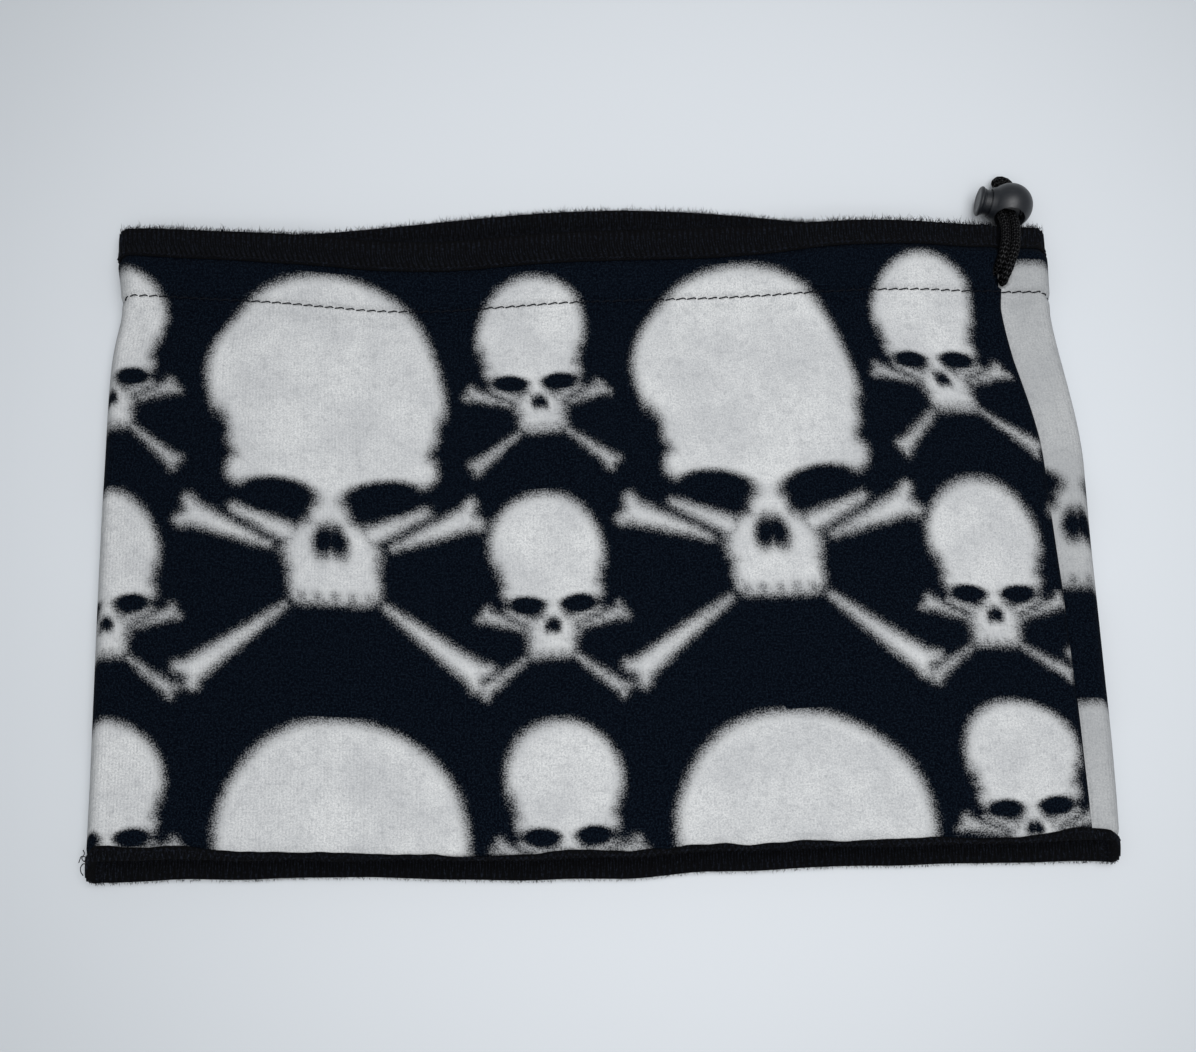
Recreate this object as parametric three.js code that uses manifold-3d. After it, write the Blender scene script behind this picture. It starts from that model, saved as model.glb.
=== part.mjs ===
// Fleece neck gaiter with a drawcord: a printed fleece sleeve lying flat, serged at both edges, with an
// elastic cord in a channel under the top edge and a spring-loaded ball lock on the cord's loop.
// Millimetres, +Z up, +Y towards the drawcord edge. The origin is the middle of the sleeve's footprint.
import * as THREE from "three";
import { mergeVertices } from "three/addons/utils/BufferGeometryUtils.js";
import Module from "manifold-3d";

const wasm = await Module();
wasm.setup();

// ---- Cloth, thread and cord -----------------------------------------------------------------------
const FLEECE = 2.4; // thickness of the outer panel
const PRESSED_FLEECE = 1.1; // the same cloth where the channel stretches it over the cord
const STITCHED_FLEECE = 1; // and under a row of stitches
const SERGED_FLEECE = { lower: 1.25, top: 1 }; // and inside the serging
const FACING = 0.9; // the strip that closes the channel inside
const THREAD_BAND = 0.5; // thickness of the serging
const SERGING_WIDTH = 8;
const GAP = 0.3; // between touching layers
const CORD = 2.6; // diameter of the elastic cord
const STITCH = 0.35; // thread of the lockstitch

// ---- Sleeve: outline as it lies -------------------------------------------------------------------
const WIDTH = 270; // across the lower edge, fold to fold
const PANEL_HEIGHT = 176; // lower edge to top edge, along the cloth
const GATHER = 10.5; // how far the elastic draws in the right side at the channel
const LEFT_PINCH = 1.5; // how far it draws in the left side
const HEM_STEP = 5; // the front layer's lower edge lies this far above the back layer's
const FRONT_DROP = 2.8; // the front layer's top edge lies this far below half the panel's height
const BACK_BOTTOM = -PANEL_HEIGHT / 2 - 1.95;
const FRONT_BOTTOM = BACK_BOTTOM + HEM_STEP;
const FRONT_TOP = PANEL_HEIGHT / 2 - FRONT_DROP;
const BACK_TOP_RISE = 7.3; // the back layer stands this far above the front in the middle

// ---- Sleeve: the drawcord's channel, up the cloth ---------------------------------------------------
const STITCH_LINE = PANEL_HEIGHT - 21; // the row of stitches that closes the channel
const CHANNEL_LOW = STITCH_LINE + 2; // the hollow of the channel
const CHANNEL_HIGH = PANEL_HEIGHT - SERGING_WIDTH - 2;
const FACING_TAIL = 4.5; // cloth of the facing below the stitch line
const GROOVE = 0.95; // depth that the stitch line pulls into the cloth

// ---- Sleeve: depths below its outside face ----------------------------------------------------------
const UNDER_BAND = THREAD_BAND + GAP; // how far the cloth is pressed in under the serging
const EDGE_UNDER_BAND = THREAD_BAND + 2 * GAP; // how far its raw edge stops short of the serging's
const CHANNEL_DEPTH = CORD + 2 * GAP; // the hollow between panel and facing
const FACING_FACE = PRESSED_FLEECE + CHANNEL_DEPTH; // the facing's depth in the channel
const FACING_AT_TOP = UNDER_BAND + SERGED_FLEECE.top + GAP;
const FACING_AT_STITCH = GROOVE + STITCHED_FLEECE + GAP;

// ---- Sleeve: heights as it lies: each side fold has room for its layers ----------------------------
const FOLD_HEIGHT = 2 * (FLEECE + GAP + FACING) + 1.4;
const FOLD_HEIGHT_AT_CHANNEL = 2 * (FACING_FACE + FACING) + 1.2;
const FOLD_HEIGHT_AT_TOP = 2 * (FACING_AT_TOP + FACING + GAP + THREAD_BAND) + 0.3;
const LOFT = 4.2; // how far the front layer arches above the folds
const LOFT_AT_TOP = 6.3;

// ---- Cord lock ------------------------------------------------------------------------------------
const TRAVEL = 1.8; // of the plunger
const CORD_PLAY = 0.17; // between the cord and the lock
const STRAND_APART = CORD + 0.8 * CORD_PLAY; // between the middles of the cord's two strands
const BORE = STRAND_APART + CORD + 2 * CORD_PLAY + TRAVEL; // diameter of the cord's bore
const BALL_WALL = 2.612; // of the ball beside that bore
const BALL = BORE + 2 * BALL_WALL; // 12.7, the common half-inch ball
const STEM = 6.2; // diameter of the plunger's stem
const STEM_PLAY = 0.2; // between the stem and its bore, on the radius
const CAP = 8.5; // diameter of the plunger's cap
const CAP_THICKNESS = 1.4;
const CAP_GAP = 0.4; // left between cap and ball when the plunger is pressed home
const SPRING_WIRE = 0.45;
const SPRING_TURNS = 3;
const LOCK_TILT = 22; // degrees that the cord's bore drops towards the loop
const LOCK_YAW = 10; // degrees that the lock is turned as it lies
const LOCK_ASIDE = 3.1; // how far it lies to the right of the cord's exit
const LOCK_CLEAR = BALL / 2 + 1.75; // from the sleeve's top edge to the middle of the ball

const smooth = (v, from, to) => THREE.MathUtils.smoothstep(v, from, to);
const bell = (t) => Math.exp(-t * t);

// ---- The sleeve as a map: a place round it, a depth below its outside face and a height up the cloth ---
const EDGE_STRAIN = { front: 3.6, rise: 3.3, sag: 2.3, backSag: 1.8 };
const frontTop = (x) =>
  FRONT_TOP - EDGE_STRAIN.front * bell((x + 50) / 32) + EDGE_STRAIN.rise * bell((x - 78) / 36);
const backTop = (x) => FRONT_TOP + BACK_TOP_RISE * bell(x / 75);
const frontBottom = (x) => FRONT_BOTTOM + 0.013 * x - EDGE_STRAIN.sag * bell((x + 25) / 55);
const backBottom = (x) => BACK_BOTTOM + 0.016 * x - EDGE_STRAIN.backSag * bell((x + 20) / 50);

// 1 in the channel, 0 above and below it.
const channelShare = (h) =>
  smooth(h, STITCH_LINE - 5, CHANNEL_LOW) - smooth(h, CHANNEL_HIGH, CHANNEL_HIGH + 6);
const topShare = (h) => smooth(h, CHANNEL_HIGH, CHANNEL_HIGH + 6);
const foldHeight = (h) =>
  FOLD_HEIGHT +
  (FOLD_HEIGHT_AT_CHANNEL - FOLD_HEIGHT) * channelShare(h) +
  (FOLD_HEIGHT_AT_TOP - FOLD_HEIGHT) * topShare(h);
const loft = (h) => LOFT + (LOFT_AT_TOP - LOFT) * topShare(h);
const rightEdge = (h) =>
  WIDTH / 2 -
  GATHER * 0.48 * smooth(h, STITCH_LINE - 105, STITCH_LINE - 25) -
  GATHER * 0.52 * smooth(h, STITCH_LINE - 30, STITCH_LINE + 2);
const leftEdge = (h) => -WIDTH / 2 + LEFT_PINCH * bell((h - STITCH_LINE) / 10);

// The height of a point over the table is its own, and y follows the layer that it is in.
function clothY(x, front, h) {
  const low = THREE.MathUtils.lerp(backBottom(x), frontBottom(x), front);
  const high = THREE.MathUtils.lerp(backTop(x), frontTop(x), front);
  return low + (h / PANEL_HEIGHT) * (high - low);
}
function archZ(x, h) {
  const r = foldHeight(h) / 2;
  const left = leftEdge(h) + r;
  const right = rightEdge(h) - r;
  const share = (2 * x - left - right) / (right - left);
  return 2 * r + loft(h) * (1 - share ** 4);
}
// side: 0-1 along the back layer from left to right, 1-2 up the right fold, 2-3 along the front layer
// from right to left, 3-4 down the left fold.
function sleevePoint(side, depth, h) {
  const r = foldHeight(h) / 2;
  const left = leftEdge(h) + r;
  const right = rightEdge(h) - r;
  const part = Math.floor(side) % 4;
  const t = side - Math.floor(side);
  if (part === 0) {
    const x = THREE.MathUtils.lerp(left, right, t);
    return new THREE.Vector3(x, clothY(x, 0, h), depth);
  }
  if (part === 2) {
    const x = THREE.MathUtils.lerp(right, left, t);
    return new THREE.Vector3(x, clothY(x, 1, h), archZ(x, h) - depth);
  }
  const up = part === 1 ? t : 1 - t;
  const turn = Math.PI * up;
  const away = (r - depth) * Math.sin(turn) * (part === 1 ? 1 : -1);
  const x = (part === 1 ? right : left) + away;
  return new THREE.Vector3(x, clothY(x, smooth(up, 0, 1), h), r - (r - depth) * Math.cos(turn));
}
function frontPoint(x, depth, h) {
  return new THREE.Vector3(x, clothY(x, 1, h), archZ(x, h) - depth);
}

const STEPS = { layer: 14, fold: 5 };
function sides(from = 0, to = 4) {
  const all = [];
  for (const part of [0, 1, 2, 3, 4, 5, 6, 7]) {
    const n = part % 2 ? STEPS.fold : STEPS.layer;
    for (let i = 0; i < n; i++) all.push(part + i / n);
  }
  return [from, ...all.filter((s) => s > from + 1e-6 && s < to - 1e-6), to];
}

// ---- Geometry helpers -----------------------------------------------------------------------------
// A skin over rings of points, each ring with as many points as the next. Open skins get flat ends.
// Every square is split from its low corner, so that skins that lie on each other split alike.
function skin(rings, closed) {
  const n = rings[0].length;
  const position = rings.flatMap((ring) => ring.flatMap((p) => [p.x, p.y, p.z]));
  const index = [];
  const last = closed ? rings.length : rings.length - 1;
  for (let i = 0; i < last; i++) {
    const a = i * n;
    const b = ((i + 1) % rings.length) * n;
    for (let j = 0; j < n; j++) {
      const k = (j + 1) % n;
      if (rings[i][k].y > rings[i][j].y) index.push(a + j, b + j, b + k, a + j, b + k, a + k);
      else index.push(a + j, b + j, a + k, b + j, b + k, a + k);
    }
  }
  if (!closed) {
    const flat = flattened(rings[0]);
    for (const [p, q, r] of THREE.ShapeUtils.triangulateShape(flat, [])) {
      const end = (rings.length - 1) * n;
      index.push(p, q, r, end + r, end + q, end + p);
    }
  }
  const made = new THREE.BufferGeometry();
  made.setAttribute("position", new THREE.Float32BufferAttribute(position, 3));
  made.setIndex(index);
  return facingOut(made);
}
// The ring's points in its own plane, for its end cap.
function flattened(ring) {
  const across = ring[1].clone().sub(ring[0]);
  const other = ring[ring.length - 1].clone().sub(ring[0]);
  const normal = across.clone().cross(other).normalize();
  const e1 = across.normalize();
  const e2 = normal.cross(e1);
  return ring.map((p) => {
    const v = p.clone().sub(ring[0]);
    return new THREE.Vector2(v.dot(e1), v.dot(e2));
  });
}
function facingOut(geometry) {
  const p = geometry.attributes.position;
  const at = (i) => new THREE.Vector3().fromBufferAttribute(p, i);
  const index = geometry.index.array;
  let volume = 0;
  for (let i = 0; i < index.length; i += 3) {
    volume += at(index[i]).dot(at(index[i + 1]).cross(at(index[i + 2])));
  }
  if (volume < 0) {
    for (let i = 0; i < index.length; i += 3) [index[i + 1], index[i + 2]] = [index[i + 2], index[i + 1]];
  }
  geometry.computeVertexNormals();
  return geometry;
}
// profile: [depth, height] corners of a band's section, carried right round the sleeve.
function ringRound(profile) {
  const stations = sides().slice(0, -1);
  return skin(stations.map((s) => profile.map(([depth, h]) => sleevePoint(s, depth, h))), true);
}

function solidOf(geometry) {
  const bare = geometry.clone();
  for (const name of ["normal", "uv"]) bare.deleteAttribute(name);
  const merged = mergeVertices(bare, 1e-4);
  return new wasm.Manifold(
    new wasm.Mesh({
      numProp: 3,
      vertProperties: new Float32Array(merged.attributes.position.array),
      triVerts: new Uint32Array(merged.index.array),
    }),
  );
}
function geometryOf(solid) {
  const mesh = solid.getMesh();
  const made = new THREE.BufferGeometry();
  made.setAttribute("position", new THREE.Float32BufferAttribute(mesh.vertProperties, 3));
  made.setIndex([...mesh.triVerts]);
  made.computeVertexNormals();
  return made;
}
function named(name, geometry, material) {
  const mesh = new THREE.Mesh(geometry, material);
  mesh.name = name;
  return mesh;
}
// A cylinder or cone of a given axis: x, y or z.
function rod(r, from, to, axis, segments = 32) {
  const made = new THREE.CylinderGeometry(r, r, to - from, segments);
  made.translate(0, (from + to) / 2, 0);
  if (axis === "x") made.rotateZ(-Math.PI / 2);
  if (axis === "z") made.rotateX(Math.PI / 2);
  return made;
}

// ---- Materials ------------------------------------------------------------------------------------
const cloth = new THREE.MeshStandardMaterial({ color: 0x10141f, roughness: 0.95, metalness: 0 });
const facingCloth = new THREE.MeshStandardMaterial({ color: 0x0c0d12, roughness: 0.95, metalness: 0 });
const thread = new THREE.MeshStandardMaterial({ color: 0x08080a, roughness: 0.8, metalness: 0 });
const elastic = new THREE.MeshStandardMaterial({ color: 0x0b0b0d, roughness: 0.7, metalness: 0 });
const plastic = new THREE.MeshStandardMaterial({ color: 0x1b1c1f, roughness: 0.42, metalness: 0 });
const steel = new THREE.MeshStandardMaterial({ color: 0x8f9296, roughness: 0.3, metalness: 1 });

// ---- Sleeve -----------------------------------------------------------------------------------------
const TOP = PANEL_HEIGHT;
const BODY_HEIGHTS = [0.15, 0.35, 0.56, 0.73, 0.83, 0.91].map((share) =>
  THREE.MathUtils.lerp(SERGING_WIDTH, STITCH_LINE, share),
);

function outerPanel() {
  const outside = [
    [UNDER_BAND, EDGE_UNDER_BAND],
    [UNDER_BAND, SERGING_WIDTH],
    [0, SERGING_WIDTH + 0.9],
    ...BODY_HEIGHTS.map((h) => [0, h]),
    [0, STITCH_LINE - 5],
    [0, STITCH_LINE - 1.1],
    [GROOVE, STITCH_LINE - 0.7],
    [GROOVE, STITCH_LINE + 0.7],
    [0, STITCH_LINE + 1.1],
    [0, CHANNEL_LOW + 1],
    [0, (CHANNEL_LOW + CHANNEL_HIGH) / 2],
    [0, TOP - SERGING_WIDTH - 0.9],
    [UNDER_BAND, TOP - SERGING_WIDTH],
    [UNDER_BAND, TOP - SERGING_WIDTH / 2],
    [UNDER_BAND, TOP - EDGE_UNDER_BAND],
  ];
  const inside = [
    [UNDER_BAND + SERGED_FLEECE.top, TOP - EDGE_UNDER_BAND],
    [UNDER_BAND + SERGED_FLEECE.top, TOP - SERGING_WIDTH / 2],
    [UNDER_BAND + SERGED_FLEECE.top, TOP - SERGING_WIDTH],
    [PRESSED_FLEECE, CHANNEL_HIGH + 0.6],
    [PRESSED_FLEECE, CHANNEL_LOW],
    [GROOVE + STITCHED_FLEECE, STITCH_LINE + 1.1],
    [GROOVE + STITCHED_FLEECE, STITCH_LINE - 0.4],
    [FLEECE, STITCH_LINE - 1.4],
    [FLEECE, STITCH_LINE - 5],
    ...[...BODY_HEIGHTS].reverse().map((h) => [FLEECE, h]),
    [FLEECE, SERGING_WIDTH + 1],
    [UNDER_BAND + SERGED_FLEECE.lower, SERGING_WIDTH],
    [UNDER_BAND + SERGED_FLEECE.lower, EDGE_UNDER_BAND],
  ];
  const sleeve = solidOf(ringRound([...outside, ...inside]));
  const cut = rod(EXIT_HALF_WIDTH, -6, 6, "z", 20).toNonIndexed();
  cut.scale(1, EXIT_HALF_LENGTH / EXIT_HALF_WIDTH, 1);
  cut.translate(EXIT.x, EXIT.y, EXIT.z);
  return geometryOf(sleeve.subtract(solidOf(cut)));
}

function channelFacing() {
  const tail = STITCH_LINE - FACING_TAIL;
  const face = [
    [FLEECE + GAP, tail],
    [FLEECE + GAP, STITCH_LINE - 1.2],
    [FACING_AT_STITCH, STITCH_LINE - 0.2],
    [FACING_AT_STITCH, STITCH_LINE + 0.9],
    [FACING_FACE, CHANNEL_LOW + 0.4],
    [FACING_FACE, CHANNEL_HIGH - 0.2],
    [FACING_AT_TOP, TOP - SERGING_WIDTH + 0.2],
    [FACING_AT_TOP, TOP - SERGING_WIDTH / 2],
    [FACING_AT_TOP, TOP - EDGE_UNDER_BAND],
  ];
  const back = face.map(([depth, h]) => [depth + FACING, h]).reverse();
  return ringRound([...face, ...back]);
}

// Serging: a thread band that wraps a raw edge. edge is the height of the edge and inward points into
// the cloth, up from the lower edge or down from the top one.
function serging(edge, inward, clothInside) {
  const at = (distance) => edge + inward * distance;
  const innerFace = UNDER_BAND + clothInside + GAP;
  return ringRound([
    [0, at(0.3)],
    [0, at(SERGING_WIDTH / 2)],
    [0, at(SERGING_WIDTH - 0.35)],
    [THREAD_BAND, at(SERGING_WIDTH - 0.35)],
    [THREAD_BAND, at(SERGING_WIDTH / 2)],
    [THREAD_BAND, at(THREAD_BAND)],
    [innerFace, at(THREAD_BAND)],
    [innerFace, at(SERGING_WIDTH / 2)],
    [innerFace, at(SERGING_WIDTH - 0.8)],
    [innerFace + THREAD_BAND, at(SERGING_WIDTH - 0.8)],
    [innerFace + THREAD_BAND, at(SERGING_WIDTH / 2)],
    [innerFace + THREAD_BAND, at(0.3)],
    [innerFace, at(0)],
    [THREAD_BAND, at(0)],
  ]);
}

function stitchRing(depth) {
  const w = STITCH * 0.85;
  return ringRound([
    [depth, STITCH_LINE - w],
    [depth, STITCH_LINE + w],
    [depth + STITCH, STITCH_LINE + w],
    [depth + STITCH, STITCH_LINE - w],
  ]);
}

// The side seam's allowance: both raw ends of the panel, serged together and laid flat inside the sleeve.
const SEAM_FROM_FOLD = { bottom: 8.6, top: 13 };
const SEAM_ALLOWANCE = 6.5;
const SEAM_THICKNESS = 1.3;
const seamX = (h) =>
  rightEdge(h) - THREE.MathUtils.mapLinear(h, 0, PANEL_HEIGHT, SEAM_FROM_FOLD.bottom, SEAM_FROM_FOLD.top);
function sideSeam() {
  const from = SERGING_WIDTH + 1.5;
  const to = STITCH_LINE - FACING_TAIL - 0.5;
  const rings = [];
  for (let i = 0; i <= 12; i++) {
    const h = THREE.MathUtils.lerp(from, to, i / 12);
    const x = seamX(h);
    const near = FLEECE + GAP;
    rings.push([
      frontPoint(x - SEAM_ALLOWANCE, near, h),
      frontPoint(x, near, h),
      frontPoint(x, near + SEAM_THICKNESS, h),
      frontPoint(x - SEAM_ALLOWANCE, near + SEAM_THICKNESS * 0.8, h),
    ]);
  }
  return skin(rings, false);
}

// ---- Drawcord ---------------------------------------------------------------------------------------
// The cord leaves the channel through a slit in the side seam, one strand above the other.
const LOWER_STRAND = CHANNEL_LOW + GAP + CORD / 2;
const UPPER_STRAND = LOWER_STRAND + CORD + 2 * GAP;
const EXIT_HALF_WIDTH = CORD;
const EXIT_HALF_LENGTH = (UPPER_STRAND - LOWER_STRAND + CORD) / 2 + 1.7;
const EXIT_HEIGHT = (LOWER_STRAND + UPPER_STRAND) / 2;
const EXIT = frontPoint(seamX(EXIT_HEIGHT), 0, EXIT_HEIGHT);
const CORD_DEPTH = PRESSED_FLEECE + GAP + CORD / 2;
const RUN_STOPS = CORD; // the run ends this far from the slit's middle on either side

// The run inside the channel, right round the sleeve from one side of the slit to the other. It starts
// as the upper strand and comes back as the lower one.
function channelRun() {
  const r = foldHeight(EXIT_HEIGHT) / 2;
  const right = rightEdge(EXIT_HEIGHT) - r;
  const left = leftEdge(EXIT_HEIGHT) + r;
  const sideAt = (x) => 2 + (right - x) / (right - left);
  const from = sideAt(EXIT.x - RUN_STOPS);
  const to = sideAt(EXIT.x + RUN_STOPS) + 4;
  const stations = sides(from, to);
  const rings = stations.map((s) => {
    const share = (s - from) / (to - from);
    const h = THREE.MathUtils.lerp(UPPER_STRAND, LOWER_STRAND, share);
    const ring = [];
    for (let i = 0; i < 8; i++) {
      const turn = (i / 8) * 2 * Math.PI;
      ring.push(sleevePoint(s, CORD_DEPTH + (CORD / 2) * Math.sin(turn), h + (CORD / 2) * Math.cos(turn)));
    }
    return ring;
  });
  return skin(rings, false);
}

const LOCK_X = EXIT.x + LOCK_ASIDE;
const LOCK = new THREE.Vector3(LOCK_X, frontTop(LOCK_X) + LOCK_CLEAR, BALL / 2);
const LOCK_TURN = new THREE.Euler(
  THREE.MathUtils.degToRad(-LOCK_TILT),
  0,
  THREE.MathUtils.degToRad(-LOCK_YAW),
  "ZYX",
);
const STRANDS_X = -TRAVEL / 2; // the strands' middle, across the bore

// The loop outside: out of the slit, over the top edge, through the lock, round its bend and back.
// Near the slit x, y and z are from the slit's middle on the cloth. In the lock a strand has its place
// along the bore, in radii of the ball, and its lift above the bore's middle. The bend has x across the
// bore, in spacings of the strands, and y along it, in radii of the ball.
const NEAR_EXIT_A = [
  [-2, 1.6, -2.42],
  [-1.3, 1.6, -2.28],
  [-0.8, 1.75, -1.5],
  [-0.5, 2.2, -0.2],
  [-0.4, 3.7, 1.2],
  [-0.25, 6.5, 1.6],
  [-0.1, 10.2, 0.35],
  [0, 13.4, -0.9],
  [0.05, 15.7, -1.75],
  [0.05, 17.4, -2.85],
];
const NEAR_EXIT_B = [
  [2.75, 17.2, -2.9],
  [2.75, 15.5, -1.8],
  [2.7, 13.2, -0.95],
  [2.6, 10, 0.3],
  [2.5, 6.3, 1.5],
  [2.2, 2.8, 1.55],
  [1.4, -0.3, 1.2],
  [0.7, -1.45, 0],
  [0.85, -1.6, -1.6],
  [1.35, -1.6, -2.6],
  [2, -1.6, -2.85],
];
const IN_LOCK = [
  [-0.8, 0.55],
  [-0.52, 0.1],
  [0, 0],
  [0.5, 0],
  [0.72, 0],
];
const BEND = [
  [-0.53, 0.88],
  [-0.88, 1.09],
  [-1.06, 1.29],
  [-0.7, 1.46],
  [-0.11, 1.43],
  [0.29, 1.24],
  [0.49, 1.01],
];
function loopPoints() {
  const fromExit = ([x, y, z]) => new THREE.Vector3(x, y, z).add(EXIT);
  const inLock = (x, y, z) => new THREE.Vector3(x, y, z).applyEuler(LOCK_TURN).add(LOCK);
  const strand = (side) =>
    IN_LOCK.map(([t, lift]) => inLock(STRANDS_X + (side * STRAND_APART) / 2, (t * BALL) / 2, lift));
  return [
    ...NEAR_EXIT_A.map(fromExit),
    ...strand(-1),
    ...BEND.map(([x, t]) => inLock(STRANDS_X + x * STRAND_APART, (t * BALL) / 2, 0)),
    ...strand(1).reverse(),
    ...NEAR_EXIT_B.map(fromExit),
  ];
}
function drawcordLoop() {
  const path = new THREE.CatmullRomCurve3(loopPoints(), false, "centripetal");
  const section = new THREE.Shape();
  section.absarc(0, 0, CORD / 2, 0, 2 * Math.PI);
  return new THREE.ExtrudeGeometry(section, { steps: 60, curveSegments: 4, extrudePath: path });
}

// ---- Cord lock: in its own frame, cord bore along Y and plunger along X, pressed towards +X ----------
const FACE_X = -BALL / 2 + 0.85; // the flat round the plunger's mouth
const CAP_UNDER = FACE_X - TRAVEL - CAP_GAP;
const SLOT = { from: -BORE / 2 - TRAVEL, to: BORE / 2 - TRAVEL };
const STEM_END = SLOT.to + 0.75;
const PLUNGER_BORE_END = STEM_END + TRAVEL + SPRING_WIRE + 0.15;

function lockBody() {
  const ball = solidOf(new THREE.SphereGeometry(BALL / 2, 32, 20));
  const bore = solidOf(rod(BORE / 2, -BALL, BALL, "y"));
  const plungerBore = solidOf(rod(STEM / 2 + STEM_PLAY, -BALL, PLUNGER_BORE_END, "x"));
  const face = new THREE.BoxGeometry(BALL, 2 * BALL, 2 * BALL);
  face.translate(FACE_X - BALL / 2, 0, 0);
  return geometryOf(ball.subtract(solidOf(face)).subtract(bore).subtract(plungerBore));
}

// Axial positions run from the cap's outer face towards the spring.
function lockPlunger() {
  const r = STEM / 2;
  const out = CAP_UNDER - CAP_THICKNESS;
  const profile = [
    [0, out],
    [CAP / 2 - 1.2, out + 0.06],
    [CAP / 2 - 0.25, out + 0.3],
    [CAP / 2, out + 0.6],
    [CAP / 2 - 0.1, out + 0.95],
    [r, CAP_UNDER],
    [r, STEM_END - 0.3],
    [r - 0.3, STEM_END],
    [0, STEM_END],
  ];
  const turned = new THREE.LatheGeometry(profile.map(([x, y]) => new THREE.Vector2(x, y)), 28);
  turned.rotateZ(-Math.PI / 2);
  const slot = new THREE.Shape();
  const half = CORD / 2 + 2 * CORD_PLAY;
  slot.absarc(SLOT.to - half, 0, half, -Math.PI / 2, Math.PI / 2);
  slot.absarc(SLOT.from + half, 0, half, Math.PI / 2, 1.5 * Math.PI);
  const cut = new THREE.ExtrudeGeometry(slot, { depth: 2 * BALL, bevelEnabled: false, curveSegments: 8 });
  cut.translate(0, 0, -BALL);
  cut.rotateX(Math.PI / 2);
  return geometryOf(solidOf(turned).subtract(solidOf(cut)));
}

// A conical spring, whose turns nest as it is pressed flat.
class SpringLine extends THREE.Curve {
  getPoint(t) {
    const turn = t * SPRING_TURNS * 2 * Math.PI;
    const r = THREE.MathUtils.lerp(1.2, STEM / 2 - 0.5, t);
    const from = STEM_END + 0.1 + SPRING_WIRE / 2;
    const to = PLUNGER_BORE_END - 0.1 - SPRING_WIRE / 2;
    return new THREE.Vector3(THREE.MathUtils.lerp(from, to, t), r * Math.cos(turn), r * Math.sin(turn));
  }
}
function lockSpring() {
  const section = new THREE.Shape();
  section.absarc(0, 0, SPRING_WIRE / 2, 0, 2 * Math.PI);
  return new THREE.ExtrudeGeometry(section, {
    steps: SPRING_TURNS * 12,
    curveSegments: 3,
    extrudePath: new SpringLine(),
  });
}

// ---- Assembly ---------------------------------------------------------------------------------------
const gaiter = new THREE.Group();
gaiter.add(
  named("outer_panel", outerPanel(), cloth),
  named("channel_facing", channelFacing(), facingCloth),
  named("top_serging", serging(TOP, -1, SERGED_FLEECE.top + GAP + FACING), thread),
  named("bottom_serging", serging(0, 1, SERGED_FLEECE.lower), thread),
  named("side_seam_serging", sideSeam(), thread),
  named("channel_stitch_needle_thread", stitchRing(0.3), thread),
  named("channel_stitch_bobbin_thread", stitchRing(FACING_AT_STITCH + FACING + GAP), thread),
  named("drawcord_channel_run", channelRun(), elastic),
  named("drawcord_loop", drawcordLoop(), elastic),
);

const lock = new THREE.Group();
lock.position.copy(LOCK);
lock.rotation.copy(LOCK_TURN);
lock.add(
  named("lock_body", lockBody(), plastic),
  named("lock_plunger", lockPlunger(), plastic),
  named("lock_spring", lockSpring(), steel),
);
gaiter.add(lock);

export default gaiter;
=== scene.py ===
import math

import bpy
import numpy as np
from mathutils import Euler, Matrix, Vector, noise


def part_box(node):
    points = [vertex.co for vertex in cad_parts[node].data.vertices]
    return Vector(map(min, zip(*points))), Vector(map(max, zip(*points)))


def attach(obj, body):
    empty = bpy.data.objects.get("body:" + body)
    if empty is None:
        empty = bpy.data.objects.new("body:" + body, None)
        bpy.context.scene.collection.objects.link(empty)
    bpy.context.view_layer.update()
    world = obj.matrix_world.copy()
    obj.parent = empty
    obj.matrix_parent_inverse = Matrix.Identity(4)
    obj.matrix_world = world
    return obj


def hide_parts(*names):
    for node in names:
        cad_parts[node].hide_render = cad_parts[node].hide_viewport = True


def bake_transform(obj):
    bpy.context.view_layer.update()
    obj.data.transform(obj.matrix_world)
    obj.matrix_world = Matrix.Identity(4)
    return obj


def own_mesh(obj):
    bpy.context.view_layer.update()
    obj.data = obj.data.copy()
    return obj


# A printed fleece neck gaiter lying flat, with a drawcord and a ball cord lock.
# Lengths are in millimetres until a mesh is made, and MM turns them into the frame's metres.
MM = 0.001
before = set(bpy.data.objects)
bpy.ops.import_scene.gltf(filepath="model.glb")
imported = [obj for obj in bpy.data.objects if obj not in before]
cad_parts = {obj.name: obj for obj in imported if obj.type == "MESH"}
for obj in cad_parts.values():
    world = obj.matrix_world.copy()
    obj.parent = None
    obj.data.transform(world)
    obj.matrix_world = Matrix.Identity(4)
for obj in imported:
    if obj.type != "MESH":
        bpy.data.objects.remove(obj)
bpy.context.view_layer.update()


def box_mm(node):
    low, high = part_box(node)
    return np.array(low) / MM, np.array(high) / MM


# ---- The sleeve's sizes: the outline comes from the frame, the rest are those of its cloth ----
PANEL_LOW, PANEL_HIGH = box_mm("outer_panel")
LOCK_LOW, LOCK_HIGH = box_mm("lock_body")
WIDTH = PANEL_HIGH[0] - PANEL_LOW[0]
HEIGHT = 176.0  # of the panel, up the cloth
GATHER = 10.5  # how far the elastic draws in the right side
LEFT_PINCH = 2.6
FRONT_TOP, BACK_TOP_RISE = 85.2, 7.3
BACK_BOTTOM, HEM_STEP = -89.95, 5.0
FLEECE, PRESSED, STITCHED, FACING = 2.4, 1.1, 1.0, 0.9
SERGED_LOW, SERGED_TOP = 1.25, 1.0
BAND, SERGING, GAP = 0.5, 8.0, 0.3
CORD = 2.6
STITCH_LINE = HEIGHT - 21
FACING_TAIL = 4.5  # how far the facing hangs below the stitches
CHANNEL_LOW, CHANNEL_HIGH = STITCH_LINE + 2, HEIGHT - SERGING - 2
UNDER_BAND = BAND + GAP
FACING_IN_CHANNEL = PRESSED + CORD + 2 * GAP
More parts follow.
